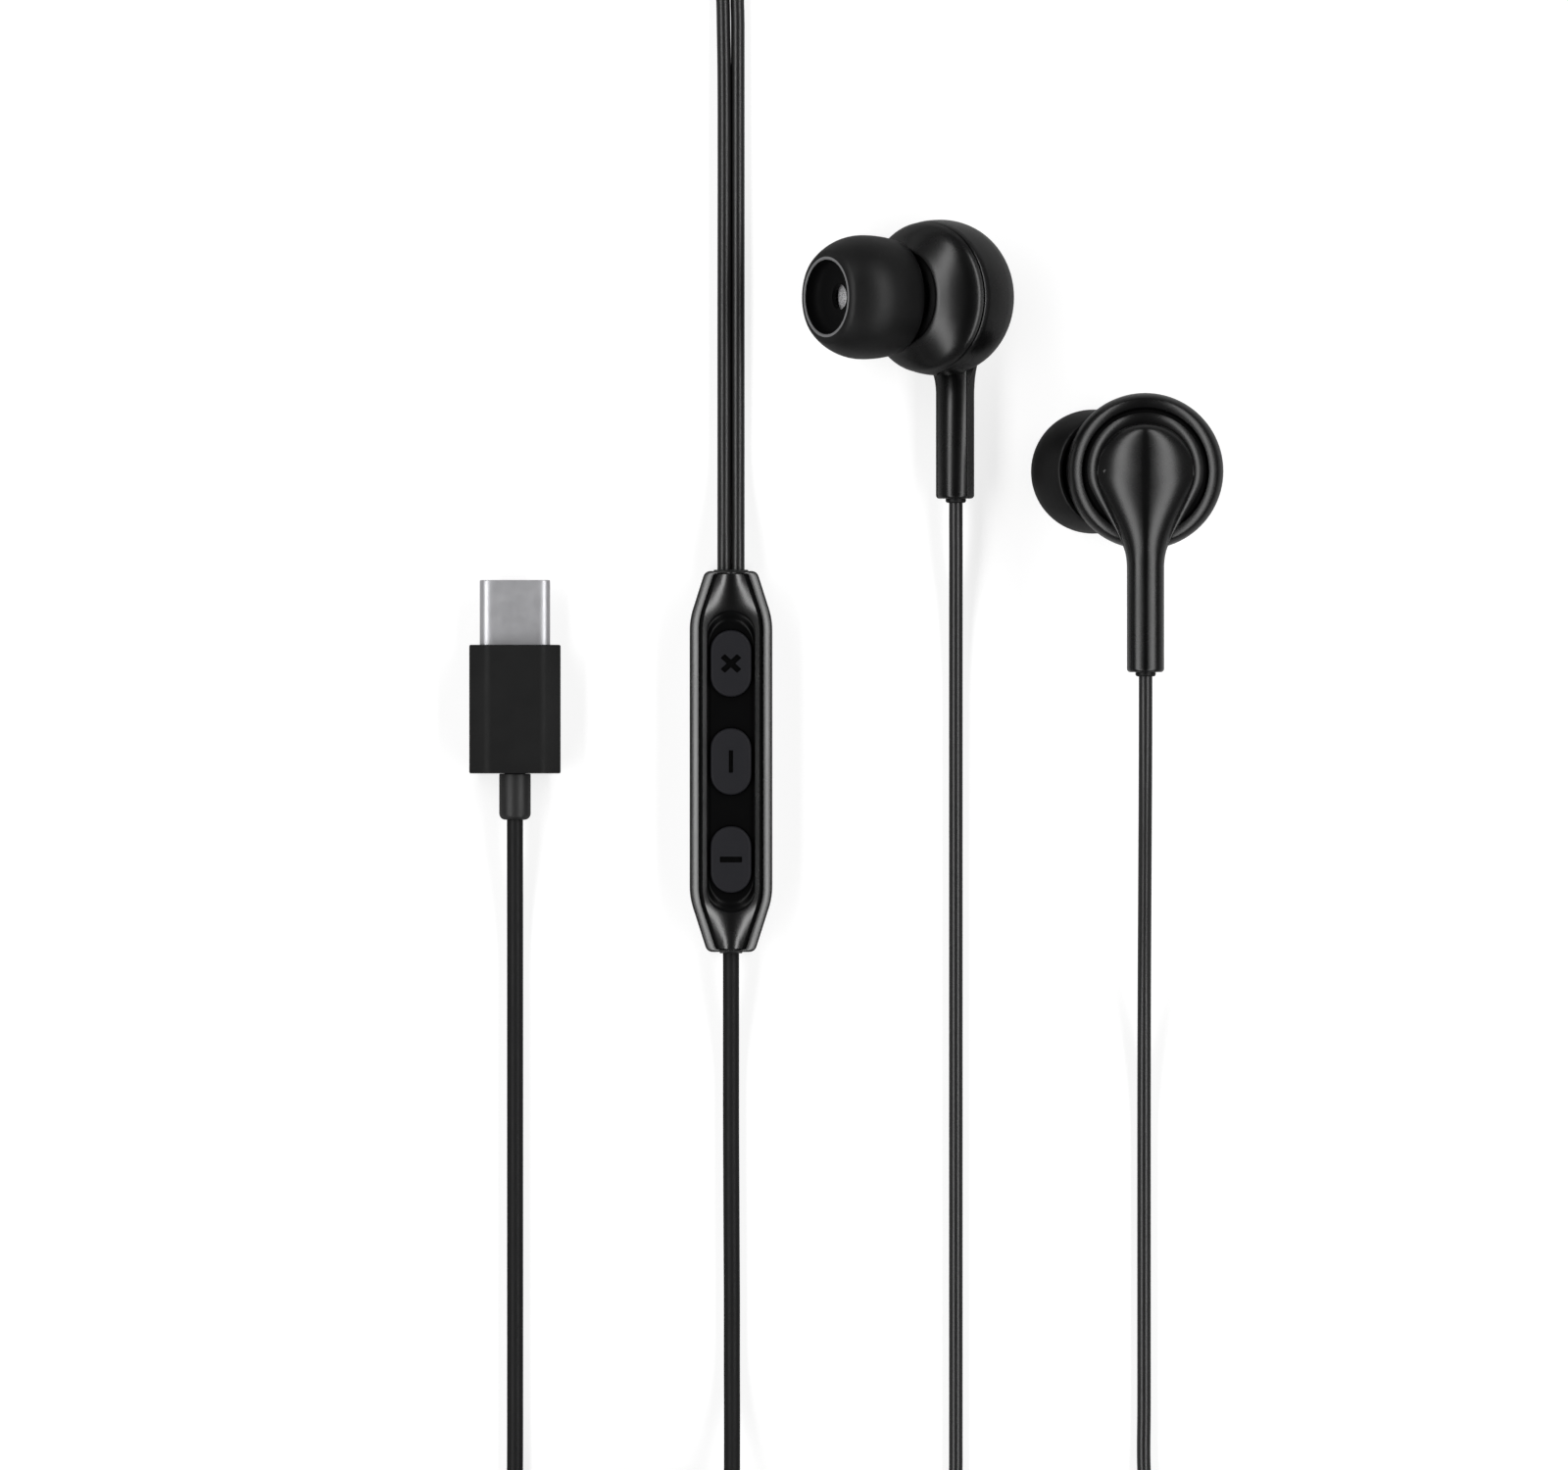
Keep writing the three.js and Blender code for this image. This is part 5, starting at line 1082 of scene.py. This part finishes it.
rings = [circle_on(SEAM, SEAM_RADIUS - 0.09, SEAM_GAP), *between(DOME, 5)]
rings += [leaning_circle(*circle) for circle in COLLAR]
for wider, along in ((0.35, 1.05), (0.08, 1.3), (0.0, 1.7)):
    rings.append(circle_on(NOZZLE, NOZZLE_RADIUS + wider, along))
for radius, below in (
    (NOZZLE_RADIUS, 1.8), (NOZZLE_LIP - 0.05, 1.5), (NOZZLE_LIP, 1.35), (NOZZLE_LIP, 0.9),
    (NOZZLE_LIP - 0.12, 0.6), (NOZZLE_RADIUS, 0.05), (NOZZLE_RADIUS - 0.06, 0.0),
    (MESH_RADIUS + 0.1, 0.0), (MESH_RADIUS + 0.05, 0.05), (MESH_RADIUS + 0.05, 0.7),
    (NOZZLE_BORE, 0.7),
):
    rings.append(circle_on(NOZZLE, radius, NOZZLE_LENGTH - below))
rings += [
    circle_on(NOZZLE, NOZZLE_BORE, 1.6),
    circle_on(NOZZLE, NOZZLE_BORE + 0.5, 0.8),
    leaning_circle(2.0, 3.5, 17.0, 4.3),
    leaning_circle(0.9, 3.1, 13.0, 5.6),
    circle_on(SEAM, SEAM_RADIUS - HOUSING_WALL - 0.85, 0.5),
    circle_on(SEAM, SEAM_RADIUS - HOUSING_WALL, SEAM_GAP),
]
on_both("front_dome", skin(rings, joined=True), gloss, "gloss_black", "front_shell")

# The nozzles' meshes: discs of fine woven steel wire, slightly domed, that keep out dust.
MESH_SEAT, MESH_THICKNESS, MESH_DOME = 0.6, 0.14, 0.16
# Its pale tones, brighter and less metallic than steel wire, are painted light that keeps the mesh
# bright down in the shaded nozzle; the lighter and darker spots follow the weave.
steel_mesh_painted_light = new_finish("woven_steel_painted_light", (0.7, 0.7, 0.71), 0.5, metallic=0.3)
weave = {"Vector": own_place(steel_mesh_painted_light), "Scale": 6500.0}
weave = feed(steel_mesh_painted_light.node_tree, "ShaderNodeTexVoronoi", weave).outputs["Distance"]
tone(steel_mesh_painted_light, weave, (0.85, 0.85, 0.86), (0.3, 0.3, 0.31), rise=(0.3, 0.75))
relief(steel_mesh_painted_light, weave, 4e-5, strength=0.7)
at_nozzle = Matrix.Translation((NOZZLE[0], 0.0, NOZZLE[1]))
at_nozzle = at_nozzle @ Matrix.Rotation(math.radians(NOZZLE[2]), 4, "Y")
at_nozzle = at_nozzle @ Matrix.Rotation(math.pi / 2, 4, "X")
bottom, edge = NOZZLE_LENGTH - MESH_SEAT, NOZZLE_LENGTH - MESH_SEAT + MESH_THICKNESS
profile = [(0.02, bottom), (MESH_RADIUS, bottom), (MESH_RADIUS, edge)]
for i in range(1, 6):
    profile.append((MESH_RADIUS * (1 - i / 6), edge + MESH_DOME * math.sin(i / 6 * math.pi / 2)))
profile.append((0.02, edge + MESH_DOME))
shape = skin(turned(profile))
on_both("wire_mesh", shape, steel_mesh_painted_light, "dark_steel", "nozzle_mesh", at_nozzle, sharp=35.0)

# The ear tips: moulded black silicone. A thin rounded skirt folds back from the mouth, a sleeve
# inside grips the nozzle's lip, and the mouth is a dished funnel with a smooth rolled rim. A pale
# grey on the rim's top is a painted highlight all round the mouth.
TIP_LENGTH, TIP_RADIUS, TIP_WIDEST, TIP_RIM = 9.4, 7.28, 4.3, 6.7
MOUTH_RADIUS, DISH_RADIUS, DISH_RIM, DISH_FLOOR = 5.2, 4.38, 0.34, 7.0
SLEEVE, SLEEVE_OUTSIDE, SLEEVE_BORE = 2.93, 3.73, NOZZLE_RADIUS + 0.03
dome_length = TIP_LENGTH - TIP_WIDEST
dome_reach = dome_length / math.sqrt(1 - (MOUTH_RADIUS / TIP_RADIUS) ** 2)
skirt_reach = TIP_WIDEST / math.sqrt(1 - (TIP_RIM / TIP_RADIUS) ** 2)
profile = [(TIP_RIM - 0.5, 0.06), (TIP_RIM - 0.42, 0.0), (TIP_RIM - 0.1, 0.0), (TIP_RIM, 0.1)]
for i in range(1, 10):
    along = TIP_WIDEST * (1 - i / 10)
    profile.append((TIP_RADIUS * math.sqrt(1 - (along / skirt_reach) ** 2), TIP_WIDEST - along))
for i in range(22):
    along = i / 22 * dome_length
    profile.append((TIP_RADIUS * math.sqrt(1 - (along / dome_reach) ** 2), TIP_WIDEST + along))
profile += [
    (MOUTH_RADIUS - 0.04, TIP_LENGTH - 0.1), (MOUTH_RADIUS - 0.2, TIP_LENGTH),
    (MOUTH_RADIUS - 0.42, TIP_LENGTH + 0.04), (DISH_RADIUS + DISH_RIM, TIP_LENGTH + 0.05),
    (DISH_RADIUS + 0.24, TIP_LENGTH + 0.1), (DISH_RADIUS + 0.1, TIP_LENGTH + 0.1),
    (DISH_RADIUS, TIP_LENGTH), (4.36, 9.0), (4.3, 8.5), (4.15, 8.12), (3.85, 7.88), (3.4, 7.76),
    (2.8, 7.7), (2.1, 7.67), (1.65, 7.64), (1.52, 7.58), (1.5, 7.5), (1.5, 7.1), (1.6, 7.02),
    (SLEEVE - 0.3, 7.02), (SLEEVE, 6.9), (SLEEVE, 5.5), (SLEEVE_BORE, 5.15), (SLEEVE_BORE, 2.1),
    (SLEEVE_BORE + 0.12, 1.92), (SLEEVE_OUTSIDE - 0.2, 1.9), (SLEEVE_OUTSIDE, 2.1),
    (SLEEVE_OUTSIDE, 6.2), (SLEEVE_OUTSIDE + 0.35, 6.75), (4.7, 7.05), (5.3, 6.9), (6.0, 6.2),
    (6.5, 5.2), (6.7, 4.0), (6.5, 2.0), (6.3, 0.8),
]
# Pale grey for the top of the mouth's rim: a painted highlight, not the silicone's own colour.
rim_painted_highlight = new_finish("silicone_rim_painted_highlight", (0.2, 0.2, 0.205), (0.36, 0.46), 0.003)
# Inside the funnel: a matt mould surface, and a darker, less shiny colour that is partly painted
# shade in the bore.
funnel_dull_and_painted_shade = new_finish(
    "funnel_silicone_dull_and_painted_shade", (0.0022, 0.0022, 0.0024), (0.65, 0.78), 0.003, specular=0.12
)
for side, at_bud in EARBUDS:
    name = f"{side}_silicone_tip"
    at_tip = at_bud @ at_nozzle
    mesh = surface(name, *skin(turned(profile, ROUND_SIDES), joined=True), at_tip)
    fitted(name, mesh, soft_black, f"{side}_tip", "ear_silicone", f"{side}_ear_tip")
    mesh.materials.append(rim_painted_highlight)
    mesh.materials.append(funnel_dull_and_painted_shade)
    for face in mesh.polygons:
        spot = at_tip.inverted() @ (face.center / MILLIMETRE)
        reach = math.hypot(spot.x, spot.z)
        # Faces on the rim's top take the painted highlight.
        if spot.y > TIP_LENGTH - 0.05 and DISH_RADIUS < reach < DISH_RADIUS + DISH_RIM:
            face.material_index = 1
        # Faces inside the funnel take the darker, duller finish, partly painted shade.
        elif spot.y > DISH_FLOOR and reach < DISH_RADIUS:
            face.material_index = 2

# Inside each housing: the terminal board and the speaker, a steel yoke cup with its magnet and
# top plate, a copper voice coil, a black basket and an amber film. Their shapes come from the
# solids.
steel = new_finish("yoke_steel", (0.16, 0.165, 0.17), (0.3, 0.45), 0.001, metallic=1.0)
copper = new_finish("lacquered_copper", (0.42, 0.14, 0.05), 0.35, metallic=1.0)
relief(copper, ribbing(copper, 3000.0, "Z"), 2e-5, strength=0.5)
film = new_finish("amber_film", (0.33, 0.24, 0.1), 0.25)
tone(film, clouding(film, 0.0015), (0.29, 0.21, 0.085), (0.38, 0.28, 0.12))
resin = new_finish("basket_resin", (0.011, 0.011, 0.012), (0.4, 0.52), 0.001)
for side, _ in EARBUDS:
    refinish({f"{side}_terminal_board": board_green, f"{side}_voice_coil": copper})
    refinish({f"{side}_{part}": steel for part in ("yoke_cup", "magnet", "top_plate")})
    refinish({f"{side}_driver_basket": resin, f"{side}_diaphragm": film})
